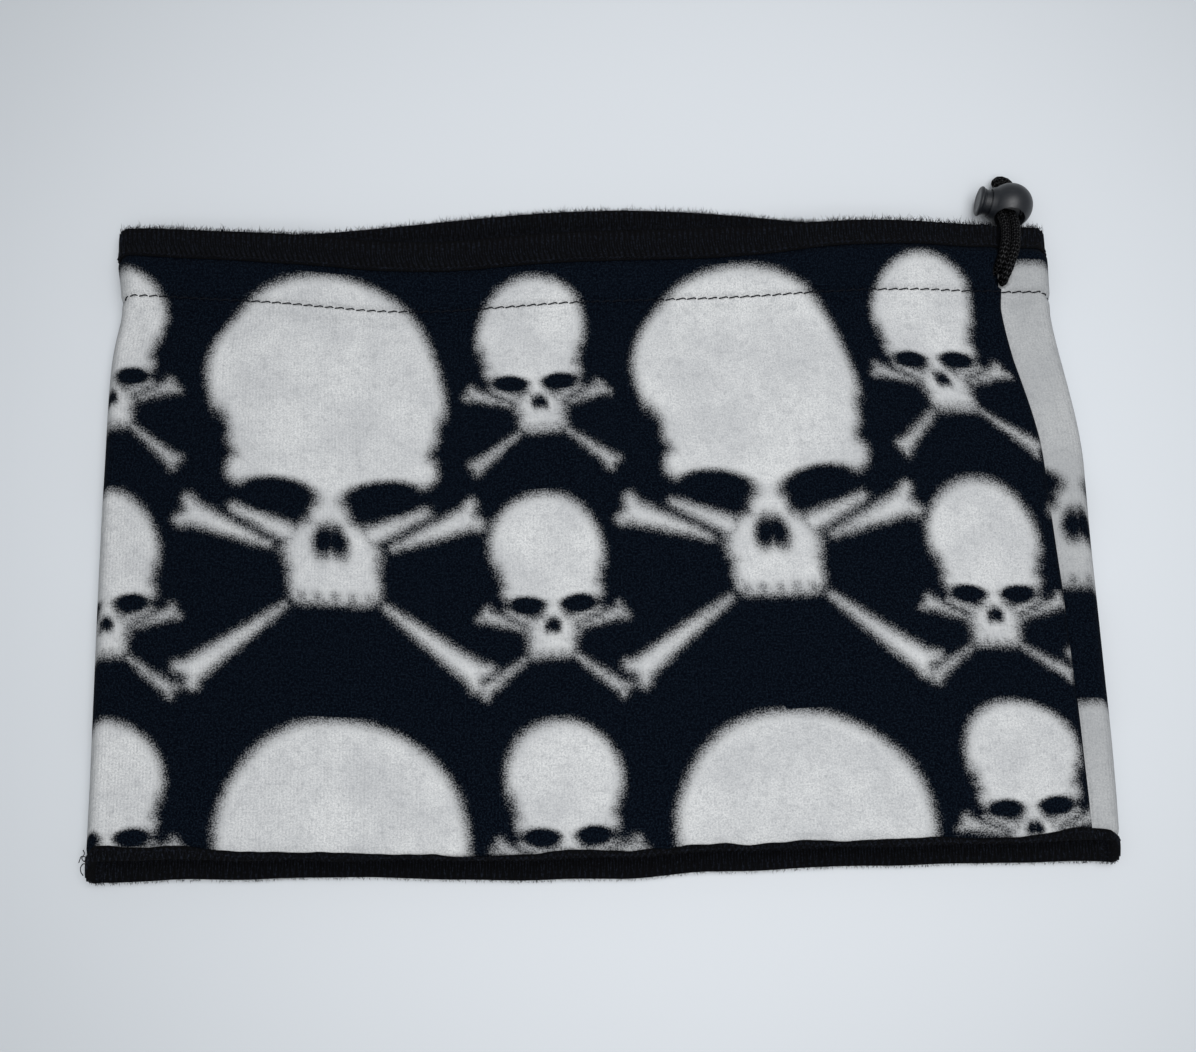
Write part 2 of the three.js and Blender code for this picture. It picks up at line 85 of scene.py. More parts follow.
# How high the folds stand: down the body, at the channel and at the top edge.
FOLD_BODY = 2 * (FLEECE + GAP + FACING) + 1.4
FOLD_CHANNEL = 2 * (FACING_IN_CHANNEL + FACING) + 1.2
FOLD_TOP = 2 * (UNDER_BAND + SERGED_TOP + GAP + FACING + GAP + BAND) + 0.3
LOFT, LOFT_AT_TOP = 4.2, 6.3
# Height up the cloth, and how far the side seam is there from the right fold.
SEAM_FROM_FOLD = [(0, 8), (24, 9), (67, 10.1), (89, 11.2), (112, 12.5), (135, 14.6), (155, 15), (HEIGHT, 15)]
SEAM_S = 2.05  # the seam's place on the way round the sleeve
LOWER_STRAND = CHANNEL_LOW + GAP + CORD / 2
UPPER_STRAND = LOWER_STRAND + CORD + 2 * GAP
EXIT_H = (LOWER_STRAND + UPPER_STRAND) / 2


def front_share(s):
    """1 on the front layer and 0 on the back, easing through the folds."""
    s = np.asarray(s) % 4
    return smooth(s, 1.3, 1.9) * (1 - smooth(s, 3.2, 3.8))


def hem_width(s):
    """How much of the lower serging shows on the outside: the front layer's rolls under."""
    x = place(s, 0, 0)[..., 0]
    seen = 2.1 + 2.1 * bell((x + 128) / 34) - 1.2 * bell((x + 33) / 14) + 1.2 * bell((x - 123) / 10)
    seen = np.maximum(seen + 0.9 * clouds(x, 0, 15, 2.2) + 0.4 * clouds(x, 0, 5, 6.1), 0.9)
    return lerp(SERGING, seen, front_share(s))


def top_width(s):
    """How wide the top serging is on the outside of the front layer."""
    x = place(s, 0, HEIGHT)[..., 0]
    return SERGING + front_share(s) * (1.9 - 2.0 * smooth(x, 30, 75) + 0.25 * clouds(x, 0, 16, 4.4))


def smooth(v, start, end):
    t = np.clip((np.asarray(v, float) - start) / (end - start), 0, 1)
    return t * t * (3 - 2 * t)


def bell(t):
    return np.exp(-np.square(t))


def lerp(a, b, t):
    return a + (b - a) * t


def clouds(x, y, size, seed):
    """Smooth noise from -1 to 1 at each x, y, with lumps of about this size."""
    x, y = np.broadcast_arrays(np.asarray(x, float), np.asarray(y, float))
    found = [noise.noise(Vector((a / size, b / size, seed))) for a, b in zip(x.ravel(), y.ravel())]
    return np.array(found).reshape(x.shape)


# ---- The sleeve as a map, the same as the frame's ----
def front_top(x):
    corners = 2.4 * bell((x + 135) / 22) + 2.6 * bell((x - 135) / 25)
    return FRONT_TOP - 3.6 * bell((x + 50) / 32) + 3.3 * bell((x - 78) / 36) + corners


def back_top(x):
    return FRONT_TOP + (BACK_TOP_RISE + 2.1) * bell((x - 6) / 75)


def front_bottom(x):
    return BACK_BOTTOM + HEM_STEP + 2.65 + 0.021 * x - 1.4 * bell((x + 20) / 50)


def back_bottom(x):
    return BACK_BOTTOM + 1.65 + 0.02 * x - 1.9 * bell((x + 8) / 42)


def top_share(h):
    return smooth(h, CHANNEL_HIGH, CHANNEL_HIGH + 6)


def fold_height(h):
    channel = smooth(h, STITCH_LINE - 5, CHANNEL_LOW) - top_share(h)
    return FOLD_BODY + (FOLD_CHANNEL - FOLD_BODY) * channel + (FOLD_TOP - FOLD_BODY) * top_share(h)


def right_edge(h):
    return WIDTH / 2 + 1.1 - GATHER * (0.36 * smooth(h, 0, 120) + 0.7 * smooth(h, 105, 160))


def left_edge(h):
    return -WIDTH / 2 - 1.1 * smooth(h, 0, 100) + LEFT_PINCH * bell((h - STITCH_LINE) / 12)


def seam_x(h):
    return right_edge(h) - np.interp(h, *zip(*SEAM_FROM_FOLD))


def cloth_y(x, front, h):
    low = lerp(back_bottom(x), front_bottom(x), front) + 0.55 * clouds(x, 9 * front, 17, 8.8)
    high = lerp(back_top(x), front_top(x), front)
    sag = 1.1 * front * bell((h - STITCH_LINE) / 22) * (1 - smooth(np.abs(x), 60, 125))
    return low + (h / HEIGHT) * (high - low) - sag


def flat_part(h):
    """Where the layers are flat: x of the left and right fold's start, and the fold's radius."""
    r = fold_height(h) / 2
    return left_edge(h) + r, right_edge(h) - r, r


def arch(x, h):
    left, right, r = flat_part(h)
    share = (2 * x - left - right) / (right - left)
    loft = LOFT + (LOFT_AT_TOP - LOFT) * top_share(h)
    return 2 * r + loft * (1 - np.clip(np.abs(share), 0, 1) ** 4)


def relief(x, h):
    """How far the lying cloth rises and sinks: slow waves, and puckers along the row of stitches."""
    waves = 0.75 * clouds(x, h, 52, 3.1) + 0.35 * clouds(x, h, 19, 7.7)
    inside = smooth(h, 0, 25) * (1 - smooth(h, STITCH_LINE - 12, STITCH_LINE))
    below = bell((h - STITCH_LINE + 5) / 8)
    above = smooth(h, STITCH_LINE, STITCH_LINE + 4) * (1 - smooth(h, CHANNEL_HIGH, CHANNEL_HIGH + 5))
    puckers = clouds(x, 0.22 * h, 6.5, 11.3)
    beside = x - seam_x(h)
    ridge = 0.6 * bell((beside + 3.2) / 2.6) - 0.45 * bell((beside - 1.6) / 2.2)
    return waves * (0.25 + 0.75 * inside) + puckers * (0.42 * below + 0.22 * above) + ridge


def front_x(s, h):
    """x on the front layer, from 2 at the right fold to 3 at the left one, with the seam at SEAM_S."""
    left, right, _ = flat_part(h)
    seam = seam_x(h)
    by_seam = lerp(right, seam, np.clip((s - 2) / (SEAM_S - 2), 0, 1))
    return np.where(s < SEAM_S, by_seam, lerp(seam, left, (s - SEAM_S) / (3 - SEAM_S)))


def place(s, depth, h):
    """Points of the sleeve. s goes round it: 0-1 the back layer from left to right, 1-2 the right fold,
    2-3 the front layer and 3-4 the left fold. depth is below its outside face and h is up the cloth."""
    s, depth, h = np.broadcast_arrays(*(np.asarray(v, float) for v in (s, depth, h)))
    s = s % 4
    part = np.floor(s)
    t = s - part
    left, right, r = flat_part(h)
    x_back = lerp(left, right, t)
    x_front = front_x(s, h)
    up = np.where(part == 1, t, 1 - t)
    turn = math.pi * up
    x_fold = np.where(part == 1, right, left) + (r - depth) * np.sin(turn) * np.where(part == 1, 1, -1)
    layers = [part == 0, part == 2]
    x = np.select(layers, [x_back, x_front], x_fold)
    front = np.select(layers, [0.0, 1.0], smooth(up, 0.36, 0.94))
    z = np.select(layers, [depth, arch(x_front, h) - depth], r - (r - depth) * np.cos(turn))
    z = z + relief(x, h) * front
    return np.stack([x, cloth_y(x, front, h), z], -1)


def front_depth(x, depth, h):
    """A point under the front layer's face at this x."""
    return np.stack([x, cloth_y(x, 1.0, h), arch(x, h) + relief(x, h) - depth], -1)


EXIT = np.array([seam_x(EXIT_H), cloth_y(seam_x(EXIT_H), 1.0, EXIT_H), arch(seam_x(EXIT_H), EXIT_H)])

# ---- The cord lock's place: the ball's middle comes from the frame's box ----
BALL_R = (LOCK_HIGH[2] - LOCK_LOW[2]) / 2
LOCK = np.array([LOCK_HIGH[0] - BALL_R, *(LOCK_LOW[1:] + LOCK_HIGH[1:]) / 2])
LOCK_TURN = Matrix.Rotation(math.radians(-10), 3, "Z") @ Matrix.Rotation(math.radians(-22), 3, "X")
TRAVEL, CORD_PLAY = 1.8, 0.17
STRAND_APART = CORD + 0.8 * CORD_PLAY
BORE = STRAND_APART + CORD + 2 * CORD_PLAY + TRAVEL


def in_lock(x, y, z):
    """A point of the lock's own frame: the plunger along x, the cord's bore along y."""
    return LOCK + np.array(LOCK_TURN @ Vector((x, y, z)))


CORD_MOUTH = in_lock(-TRAVEL / 2, -BALL_R, 0)


# ---- Camera ----
PHOTO_SIZE = (1196, 1052)
LENS_PIXELS = 1250.0  # focal length in the picture's pixels
SENSOR = 36.0


def make_camera():
    data = bpy.data.cameras.new("camera")
    data.sensor_width = SENSOR
    data.lens = LENS_PIXELS / PHOTO_SIZE[0] * SENSOR
    data.clip_start, data.clip_end = 0.01, 20
    camera = bpy.data.objects.new("camera", data)
    camera.location = Vector((-0.84, -46.7, 341.2)) * MM
    camera.rotation_euler = Euler((math.radians(8.5), 0, 0))
    bpy.context.collection.objects.link(camera)
    bpy.context.scene.camera = camera


make_camera()


# ---- Mesh helpers ----
def new_object(name, points, faces, material):
    """A mesh from points in millimetres, with its material."""
    mesh = bpy.data.meshes.new(name)
    mesh.from_pydata((np.asarray(points) * MM).tolist(), [], faces)
    mesh.validate()
    mesh.shade_smooth()
    made = bpy.data.objects.new(name, mesh)
    bpy.context.collection.objects.link(made)
    made.data.materials.append(material)
    return made


def round_turn(count):
    """This many angles, evenly round a circle."""
    return np.arange(count) / count * 2 * math.pi


def travelled(line):
    """How far along the line each of its points is."""
    return np.r_[0, np.cumsum(np.linalg.norm(np.diff(line, axis=0), axis=1))]


def end_faces(count, total):
    """The first and the last ring of a mesh with this many points, as the faces that close it."""
    return [list(range(count)), [total - 1 - k for k in range(count)]]


def lattice(rows, columns, closed_rows=False, closed_columns=False, start=0, flip=False):
    """The quads of a grid of points, numbered along its rows."""
    i = np.arange(rows if closed_rows else rows - 1)[:, None]
    j = np.arange(columns if closed_columns else columns - 1)[None, :]
    a = i * columns + j
    b = ((i + 1) % rows) * columns + j
    c = ((i + 1) % rows) * columns + (j + 1) % columns
    d = i * columns + (j + 1) % columns
    order = (a, d, c, b) if flip else (a, b, c, d)
    return (np.stack(order, -1).reshape(-1, 4) + start).tolist()


def ring_mesh(name, profile, stations, material, ripple=None):
    """A band right round the sleeve with a closed section of [depth, height] corners."""
    profile = np.asarray(profile, float)
    depth = np.broadcast_to(profile[None, :, 0], (len(stations), len(profile))).copy()
    height = np.broadcast_to(profile[None, :, 1], depth.shape).copy()
    if ripple is not None:
        depth, height = ripple(stations[:, None], depth, height)
    points = place(stations[:, None], depth, height)
    faces = lattice(len(stations), len(profile), closed_rows=True, closed_columns=True)
    made = new_object(name, points.reshape(-1, 3), faces, material)
    return face_out(made)


def face_out(made):
    """Turns the mesh's faces outwards, by its volume."""
    mesh = made.data
    mesh.calc_loop_triangles()
    tri = np.array([t.vertices[:] for t in mesh.loop_triangles])
    co = np.array([v.co[:] for v in mesh.vertices])
    volume = np.einsum("ij,ij->i", co[tri[:, 0]], np.cross(co[tri[:, 1]], co[tri[:, 2]])).sum()
    if volume < 0:
        mesh.flip_normals()
    return made


def frames_along(path, closed=False):
    """Two unit vectors across the path at each of its points, turning as little as they can."""
    ahead = np.roll(path, -1, 0) - np.roll(path, 1, 0)
    if not closed:
        ahead[0], ahead[-1] = path[1] - path[0], path[-1] - path[-2]
    ahead /= np.linalg.norm(ahead, axis=1)[:, None]
    side = np.cross(ahead[0], [0.0, 0.0, 1.0])
    if np.linalg.norm(side) < 0.1:
        side = np.cross(ahead[0], [0.0, 1.0, 0.0])
    sides = []
    for direction in ahead:
        side = side - direction * side.dot(direction)
        side = side / np.linalg.norm(side)
        sides.append(side)
    sides = np.array(sides)
    return sides, np.cross(ahead, sides)


def tube_parts(path, radius, around=8, closed=False, flatten=None, start=0):
    """Points and faces of a tube along the path. radius is a number or one for each point of the tube."""
    across, up = frames_along(path, closed)
    turn = round_turn(around)
    radius = np.broadcast_to(np.asarray(radius, float), (len(path), around))
    wide = (radius * np.cos(turn))[..., None] * across[:, None]
    tall = (radius * np.sin(turn))[..., None] * up[:, None]
    points = path[:, None] + wide + (tall if flatten is None else tall * flatten)
    faces = lattice(len(path), around, closed_rows=closed, closed_columns=True, start=start)
    points = points.reshape(-1, 3)
    if not closed:
        end = start + len(points)
        points = np.vstack([points, path[0], path[-1]])
        last = start + (len(path) - 1) * around
        for k in range(around):
            after = (k + 1) % around
            faces.append([end, start + k, start + after])
            faces.append([end + 1, last + after, last + k])
    return points, faces


def tubes(name, paths, radius, material, around=6, closed=False, flatten=None):
    """One piece of several tubes of the same thickness."""
    all_points, all_faces, count = [], [], 0
    for path in paths:
        points, faces = tube_parts(np.asarray(path, float), radius, around, closed, flatten, count)
        all_points.append(points)
        all_faces += faces
        count += len(points)
    return face_out(new_object(name, np.vstack(all_points), all_faces, material))


def catmull_rom(points, step):
    """A centripetal Catmull-Rom curve through the points, in even steps of about this length."""
    points = np.asarray(points, float)
    padded = np.vstack([2 * points[0] - points[1], points, 2 * points[-1] - points[-2]])
    fine = []
    for p0, p1, p2, p3 in zip(padded, padded[1:], padded[2:], padded[3:]):
        k1, k2, k3 = (max(np.linalg.norm(b - a) ** 0.5, 1e-6) for a, b in ((p0, p1), (p1, p2), (p2, p3)))
        m1 = p2 - p1 + k2 * ((p1 - p0) / k1 - (p2 - p0) / (k1 + k2))
        m2 = p2 - p1 + k2 * ((p3 - p2) / k3 - (p3 - p1) / (k2 + k3))
        for t in np.arange(16) / 16:
            t2, t3 = t * t, t * t * t
            curve = (2 * t3 - 3 * t2 + 1) * p1 + (t3 - 2 * t2 + t) * m1
            fine.append(curve + (3 * t2 - 2 * t3) * p2 + (t3 - t2) * m2)
    fine = np.array([*fine, points[-1]])
    gone = travelled(fine)
    even = np.linspace(0, gone[-1], max(2, round(gone[-1] / step) + 1))
    return np.stack([np.interp(even, gone, fine[:, k]) for k in range(3)], -1), gone[-1]


def attribute(made, name, values):
    """A number at each point of the mesh, for its material."""
    layer = made.data.attributes.new(name, "FLOAT", "POINT")
    layer.data.foreach_set("value", np.ascontiguousarray(values, np.float32).ravel())


def stations(layer, fold):
    """Places round the sleeve, with this many on each layer and on each fold."""
    flat, bent = np.arange(layer) / layer, np.arange(fold) / fold
    right = 2 + (SEAM_S - 2) * np.array([0.0, 0.25, 0.5, 0.75])
    return np.r_[flat, 1 + bent, right, lerp(SEAM_S, 3, flat), 3 + bent]


# ---- Materials ----
class Nodes:
    """A short way to write a material's nodes."""

    def __init__(self, name):
        self.material = bpy.data.materials.new(name)
        self.material.use_nodes = True
        self.tree = self.material.node_tree
        self.shader = self.tree.nodes["Principled BSDF"]

    def add(self, kind, settings=None, **inputs):
        node = self.tree.nodes.new("ShaderNode" + kind)
        for key, value in (settings or {}).items():
            setattr(node, key, value)
        for key, value in inputs.items():
            numbered = key[0] == "i" and key[1:].isdigit()
            self.put(node.inputs[int(key[1:]) if numbered else key.replace("_", " ")], value)
        return node

    def put(self, socket, value):
        if hasattr(value, "bl_idname") and hasattr(value, "outputs"):
            value = value.outputs[0]
        if isinstance(value, bpy.types.NodeSocket):
            self.tree.links.new(value, socket)
        else:
            socket.default_value = value

    def math(self, operation, a, b):
        return self.add("Math", {"operation": operation}, i0=a, i1=b)

    def times(self, a, b):
        return self.math("MULTIPLY", a, b)

    def plus(self, a, b):
        return self.math("ADD", a, b)

    def ramp(self, value, low, high, to_low=0.0, to_high=1.0):
        node = self.add("MapRange", {"interpolation_type": "SMOOTHSTEP"}, Value=value)
        for key, number in (("From Min", low), ("From Max", high), ("To Min", to_low), ("To Max", to_high)):
            node.inputs[key].default_value = number
        return node

    def mix(self, share, a, b):
        node = self.add("Mix", {"data_type": "RGBA"})
        self.put(node.inputs["Factor"], share)
        self.put(node.inputs["A"], a)
        self.put(node.inputs["B"], b)
        return node.outputs["Result"]

    def cloth_place(self, scale=(1, 1, 1)):
        uv = self.add("UVMap", {"uv_map": "cloth"})
        return self.add("Mapping", Vector=uv, Scale=scale)

    def own_place(self, scale=(1, 1, 1)):
        where = self.add("TexCoord")
        return self.add("Mapping", Vector=where.outputs["Object"], Scale=scale)

    def noise(self, where, scale, detail=2.0, roughness=0.5, distortion=0.0):
        node = self.add("TexNoise", Vector=where, Scale=scale, Detail=detail, Roughness=roughness)
        node.inputs["Distortion"].default_value = distortion
        return node.outputs["Fac"]

    def bump(self, height, distance, strength):
        return self.add("Bump", Height=height, Distance=distance, Strength=strength)

    def finish(self, **sockets):
        for key, value in sockets.items():
            self.put(self.shader.inputs[key.replace("_", " ")], value)
        return self.material


def fleece_material():
    """Brushed fleece with a soft-edged pale print. The attribute "print" is the distance in mm inside the
    print's outline, and the map "cloth" has its place on the flat cloth in metres."""
    n = Nodes("printed_fleece")
    where = n.cloth_place()
    inside = n.add("Attribute", {"attribute_name": "print"}).outputs["Fac"]
    fibre = n.noise(where, 1500.0, 4.0, 0.65)
    clump = n.noise(where, 420.0, 3.0, 0.6)
    grain = n.ramp(n.noise(where, 2300.0, 1.0, 0.5), 0.33, 0.67)
    ragged = n.times(n.math("SUBTRACT", grain, 0.5), 1.5)
    ragged = n.plus(ragged, n.times(n.math("SUBTRACT", clump, 0.5), 2.2))
    share = n.ramp(n.plus(inside, ragged), -2.2, 2.2)
    # Pale pile: the knit's upright ribs show through, with slow cloudy greys.
    upright = n.cloth_place((1, 0.06, 1))
    bands = {"wave_type": "BANDS", "bands_direction": "X"}
    ribs = n.add("TexWave", bands, Vector=upright, Scale=330.0, Distortion=2.4, Detail=2.0).outputs["Fac"]
    cloudy = n.noise(where, 55.0, 4.0, 0.6)
    pale = n.mix(n.ramp(cloudy, 0.32, 0.7), (0.57, 0.58, 0.585, 1), (0.72, 0.73, 0.725, 1))
    pale = n.mix(n.times(n.ramp(clump, 0.45, 0.8), 0.5), pale, (0.36, 0.37, 0.38, 1))
    pale = n.mix(n.times(n.ramp(fibre, 0.5, 0.72), 0.6), pale, (0.30, 0.31, 0.325, 1))
    pale = n.mix(n.times(ribs, 0.08), pale, (0.33, 0.34, 0.355, 1))
    pale = n.mix(n.times(grain, 0.42), pale, (0.30, 0.315, 0.335, 1))
    # Painted shade: the pale print is greyed where the cloth turns away over the folds, as this attribute
    # gives it.
    fold_shading = n.add("Attribute", {"attribute_name": "fold_shading"}).outputs["Fac"]
    pale = n.mix(fold_shading, pale, (0.24, 0.25, 0.257, 1))
    dark = n.mix(n.ramp(fibre, 0.45, 0.85), (0.0002, 0.0009, 0.003, 1), (0.007, 0.0115, 0.019, 1))
    dark = n.mix(n.times(n.ramp(clump, 0.5, 0.85), 0.4), dark, (0.005, 0.008, 0.015, 1))
    dark = n.mix(n.times(n.ramp(grain, 0.5, 1.0), 0.55), dark, (0.008, 0.0145, 0.024, 1))
    colour = n.mix(share, dark, pale)
    pile = n.plus(n.times(fibre, 0.5), n.times(clump, 0.9))
    height = n.plus(pile, n.times(ribs, 0.12))
    return n.finish(
        Base_Color=colour,
        Roughness=n.ramp(fibre, 0.2, 0.8, 0.86, 1.0),
        Normal=n.bump(height, 0.0006, 0.8),
        Specular_IOR_Level=0.03,
        Sheen_Weight=0.004,
        Sheen_Roughness=0.5,
    )


def thread_material(name="black_thread", low=0.0008, high=0.024):
    """Woolly black thread, lighter where its fibres catch the light."""
    n = Nodes(name)
    where = n.own_place()
    hairs = n.noise(where, 1900.0, 4.0, 0.75, 0.4)
    slubs = n.noise(where, 420.0, 2.0)
    shaded, lit = (low, low * 1.3, low * 2.4, 1), (high * 0.8, high * 1.02, high * 1.6, 1)
    colour = n.mix(n.ramp(hairs, 0.47, 0.66), shaded, lit)
    colour = n.mix(n.times(slubs, 0.35), colour, (low, low, low * 1.2, 1))
    return n.finish(
        Base_Color=colour,
        Roughness=n.ramp(hairs, 0.2, 0.8, 0.72, 0.95),
        Normal=n.bump(hairs, 0.0004, 0.9),
        Specular_IOR_Level=0.1,
    )


def facing_material():
    """Plain black knitted cloth of the channel's facing."""
    n = Nodes("facing_cloth")
    knit = n.add("TexVoronoi", {"feature": "F1"}, Vector=n.own_place((1, 0.6, 1)), Scale=1100.0)
    fluff = n.noise(n.own_place(), 1500.0, 4.0, 0.7)
    colour = n.mix(n.ramp(fluff, 0.4, 0.8), (0.006, 0.0065, 0.009, 1), (0.02, 0.021, 0.027, 1))
    height = n.plus(n.times(knit.outputs["Distance"], -0.8), fluff)
    return n.finish(
        Base_Color=colour, Roughness=0.92, Normal=n.bump(height, 0.0003, 0.7), Specular_IOR_Level=0.2
    )


def cord_material():
    """Braided elastic: each pick of the braid is painted a little lighter on its crown, a painted highlight.
    """
    n = Nodes("elastic_cord")
    crown = n.add("Attribute", {"attribute_name": "crown"}).outputs["Fac"]
    yarn = n.noise(n.own_place(), 3800.0, 3.0, 0.6)
    # Painted highlight on the crowns of the braid's picks.
    lit = n.times(n.ramp(crown, 0.6, 0.95), n.ramp(yarn, 0.38, 0.62, 0.1, 1.0))
    colour = n.mix(lit, (0.0007, 0.0007, 0.0009, 1), (0.045, 0.046, 0.05, 1))
    return n.finish(
        Base_Color=colour,
        Roughness=n.ramp(yarn, 0.2, 0.8, 0.55, 0.8),
        Normal=n.bump(yarn, 0.00012, 0.7),
        Specular_IOR_Level=n.ramp(crown, 0.5, 0.95, 0.03, 0.3),
    )


def plastic_material():
    """Matte moulded plastic with a fine spark-eroded skin and faint scuffs."""
    n = Nodes("lock_plastic")
    skin = n.noise(n.own_place(), 4200.0, 2.0, 0.5)
    scuffs = n.noise(n.own_place((1, 5, 1)), 700.0, 5.0, 0.75, 0.8)
    colour = n.mix(n.ramp(scuffs, 0.5, 0.78), (0.0075, 0.0092, 0.0125, 1), (0.019, 0.0215, 0.026, 1))
    rough = n.plus(n.ramp(scuffs, 0.4, 0.75, 0.36, 0.5), n.times(skin, 0.08))
    return n.finish(
        Base_Color=colour,
        Roughness=rough,
        Normal=n.bump(n.plus(skin, n.times(scuffs, 0.3)), 0.00004, 0.5),
        Specular_IOR_Level=0.55,
    )


def steel_material():
    n = Nodes("spring_steel")
    drawn = n.noise(n.own_place((1, 8, 8)), 1500.0, 3.0, 0.6)
    colour = n.mix(drawn, (0.42, 0.42, 0.43, 1), (0.62, 0.62, 0.64, 1))
    return n.finish(Base_Color=colour, Metallic=1.0, Roughness=n.ramp(drawn, 0.2, 0.8, 0.22, 0.4))


def floor_material():
    """The pale matte table under the gaiter, with painted shade that darkens it away from the middle."""
    n = Nodes("pale_table")
    where = n.own_place()
    grain = n.noise(where, 900.0, 3.0, 0.6)
    tone = n.noise(where, 3.0, 2.0)
    colour = n.mix(tone, (0.645, 0.68, 0.712, 1), (0.68, 0.71, 0.742, 1))
    # Painted shade: the table darkens from 0.1 m to 0.3 m out from a point near the middle, standing in for
    # the light's fall-off.
    away = n.add("VectorMath", {"operation": "DISTANCE"}, i0=where, i1=(0.015, 0.03, 0.0)).outputs["Value"]
    colour = n.mix(n.ramp(away, 0.1, 0.3), colour, (0.535, 0.565, 0.59, 1))
    return n.finish(
        Base_Color=colour, Roughness=0.6, Normal=n.bump(grain, 0.00003, 0.3), Specular_IOR_Level=0.25
    )


FLEECE_LOOK = fleece_material()
THREAD_LOOK = thread_material()
STITCH_LOOK = thread_material("stitch_thread", 0.003, 0.012)
# The serging's core: the same black thread painted darker, painted shade where it shows between the loops
# over it.
CORE_SHADE_LOOK = thread_material("serging_core_shaded", 0.0005, 0.003)
FACING_LOOK = facing_material()
CORD_LOOK = cord_material()
PLASTIC_LOOK = plastic_material()
STEEL_LOOK = steel_material()


# ---- Drawcord ----
# The route of the loop outside, as the frame has it: from the slit, over the top edge, through the lock,
# round its bend and back. Near the slit the points are from the slit's middle on the cloth. In the lock a
# strand has its place along the bore, in radii of the ball, and its lift above the bore's middle. The
# bend has x across the bore, in spacings of the strands, and y along it, in radii of the ball.
NEAR_EXIT_A = [
    (-2, 1.6, -2.42), (-1.3, 1.6, -2.28), (-0.8, 1.75, -1.5), (-0.5, 2.2, -0.2), (-0.4, 3.7, 1.2),
    (-0.25, 6.5, 1.6), (-0.1, 10.2, 0.35), (0, 13.4, -0.9), (0.05, 15.7, -1.75), (0.05, 17.4, -2.85),
]
NEAR_EXIT_B = [
    (2.75, 17.2, -2.9), (2.75, 15.5, -1.8), (2.7, 13.2, -0.95), (2.6, 10, 0.3), (2.5, 6.3, 1.5),
    (2.0, 3.2, 1.6), (1.35, 0.6, 1.25), (0.75, -0.9, 0.1), (0.8, -1.4, -1.5), (1.3, -1.6, -2.55),
    (2, -1.6, -2.85),
]
IN_LOCK = [(-0.8, 0.55), (-0.52, 0.1), (0, 0), (0.5, 0), (0.72, 0)]
BEND = [(-0.53, 0.88), (-0.88, 1.09), (-1.06, 1.29), (-0.7, 1.46), (-0.11, 1.43), (0.29, 1.24), (0.49, 1.01)]
BRAID = {"strands": 12, "pick": 1.05, "crown": 0.2}


def loop_route():
    def strand(side):
        x = -TRAVEL / 2 + side * STRAND_APART / 2
        return [in_lock(x, t * BALL_R, lift) for t, lift in IN_LOCK]

    def near_exit(side):
        """The slit is a little to the left of the lock's bore: the strands lean over to it."""
        side = np.array(side, float)
        side[:, 0] += (CORD_MOUTH[0] - 1.3 - EXIT[0]) * smooth(side[:, 1], 0, 14)
        return list(EXIT + side)

    bend = [in_lock(-TRAVEL / 2 + x * STRAND_APART, t * BALL_R, 0) for x, t in BEND]
    out, back = near_exit(NEAR_EXIT_A), near_exit(NEAR_EXIT_B)
    return [*out, *strand(-1), *bend, *strand(1)[::-1], *back]


def braid(path_length, rings, around):
    """Height of a round braid's crossing strands over its tube, from 0 to 1, ring by ring."""
    along = np.linspace(0, path_length, rings)[:, None]
    turn = round_turn(around)[None, :]
    half = BRAID["strands"] / 2
    run = math.pi * along / BRAID["pick"]
    one, other = np.cos(half * turn + run), np.cos(half * turn - run)
    crossing = np.sin(half * turn) * np.sin(run)
    over = smooth(crossing, -0.25, 0.25)
    yarn = over * np.abs(one) ** 0.7 + (1 - over) * np.abs(other) ** 0.7
    return yarn * (0.45 + 0.55 * np.abs(crossing) ** 0.5)


def make_cord():
    around = 40
    path, length = catmull_rom(loop_route(), 0.125)
    crown = braid(length, len(path), around)
    radius = CORD / 2 - BRAID["crown"] * 0.6 + BRAID["crown"] * crown
    points, faces = tube_parts(path, radius, around)
    made = face_out(new_object("drawcord_outside", points, faces, CORD_LOOK))
    attribute(made, "crown", np.r_[crown.ravel(), 0.5, 0.5])
    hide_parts("drawcord_loop")
    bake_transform(made)
    return made, path * MM


def make_run():
    """The cord in its channel, once round the sleeve from one side of the slit to the other."""
    s = np.r_[np.linspace(SEAM_S + 0.011, 4, 260), np.linspace(0, SEAM_S - 0.028, 260)[1:]]
    share = smooth(np.arange(len(s)) / len(s), 0, 1)
    path = place(s, PRESSED + GAP + CORD / 2, lerp(UPPER_STRAND, LOWER_STRAND, share))
    made = tubes("drawcord_in_channel", [path], CORD / 2 - 0.05, CORD_LOOK, around=12)
    attribute(made, "crown", np.full(len(made.data.vertices), 0.4))
    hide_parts("drawcord_channel_run")
    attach(made, "sleeve")


DRAWCORD, CORD_PATH = make_cord()
make_run()


# ---- Print ----
# A plain skull over crossed bones, large and small by turns, drawn as distances in mm inside each shape.
REPEAT = (118.4, 125.0)
BIG_AT, SMALL_AT = (-69.3, 89.0), (-11.8, 127.0)
SMALL = 0.48  # size of the small skulls
SLANT = 0.058  # the print leans this much to the left up the cloth
FAR_SIDE = 557.5  # the print's length round the sleeve, from one side of the seam to the other


def ellipse(x, y, cx, cy, a, b, tilt=0.0):
    c, s = math.cos(math.radians(tilt)), math.sin(math.radians(tilt))
    u, v = (x - cx) * c + (y - cy) * s, (y - cy) * c - (x - cx) * s
    return (1 - np.sqrt((u / a) ** 2 + (v / b) ** 2)) * min(a, b)


def slab(x, y, cx, cy, half_width, half_height, corner):
    dx = np.abs(x - cx) - half_width + corner
    dy = np.abs(y - cy) - half_height + corner
    outside = np.hypot(np.maximum(dx, 0), np.maximum(dy, 0))
    return corner - outside - np.minimum(np.maximum(dx, dy), 0)


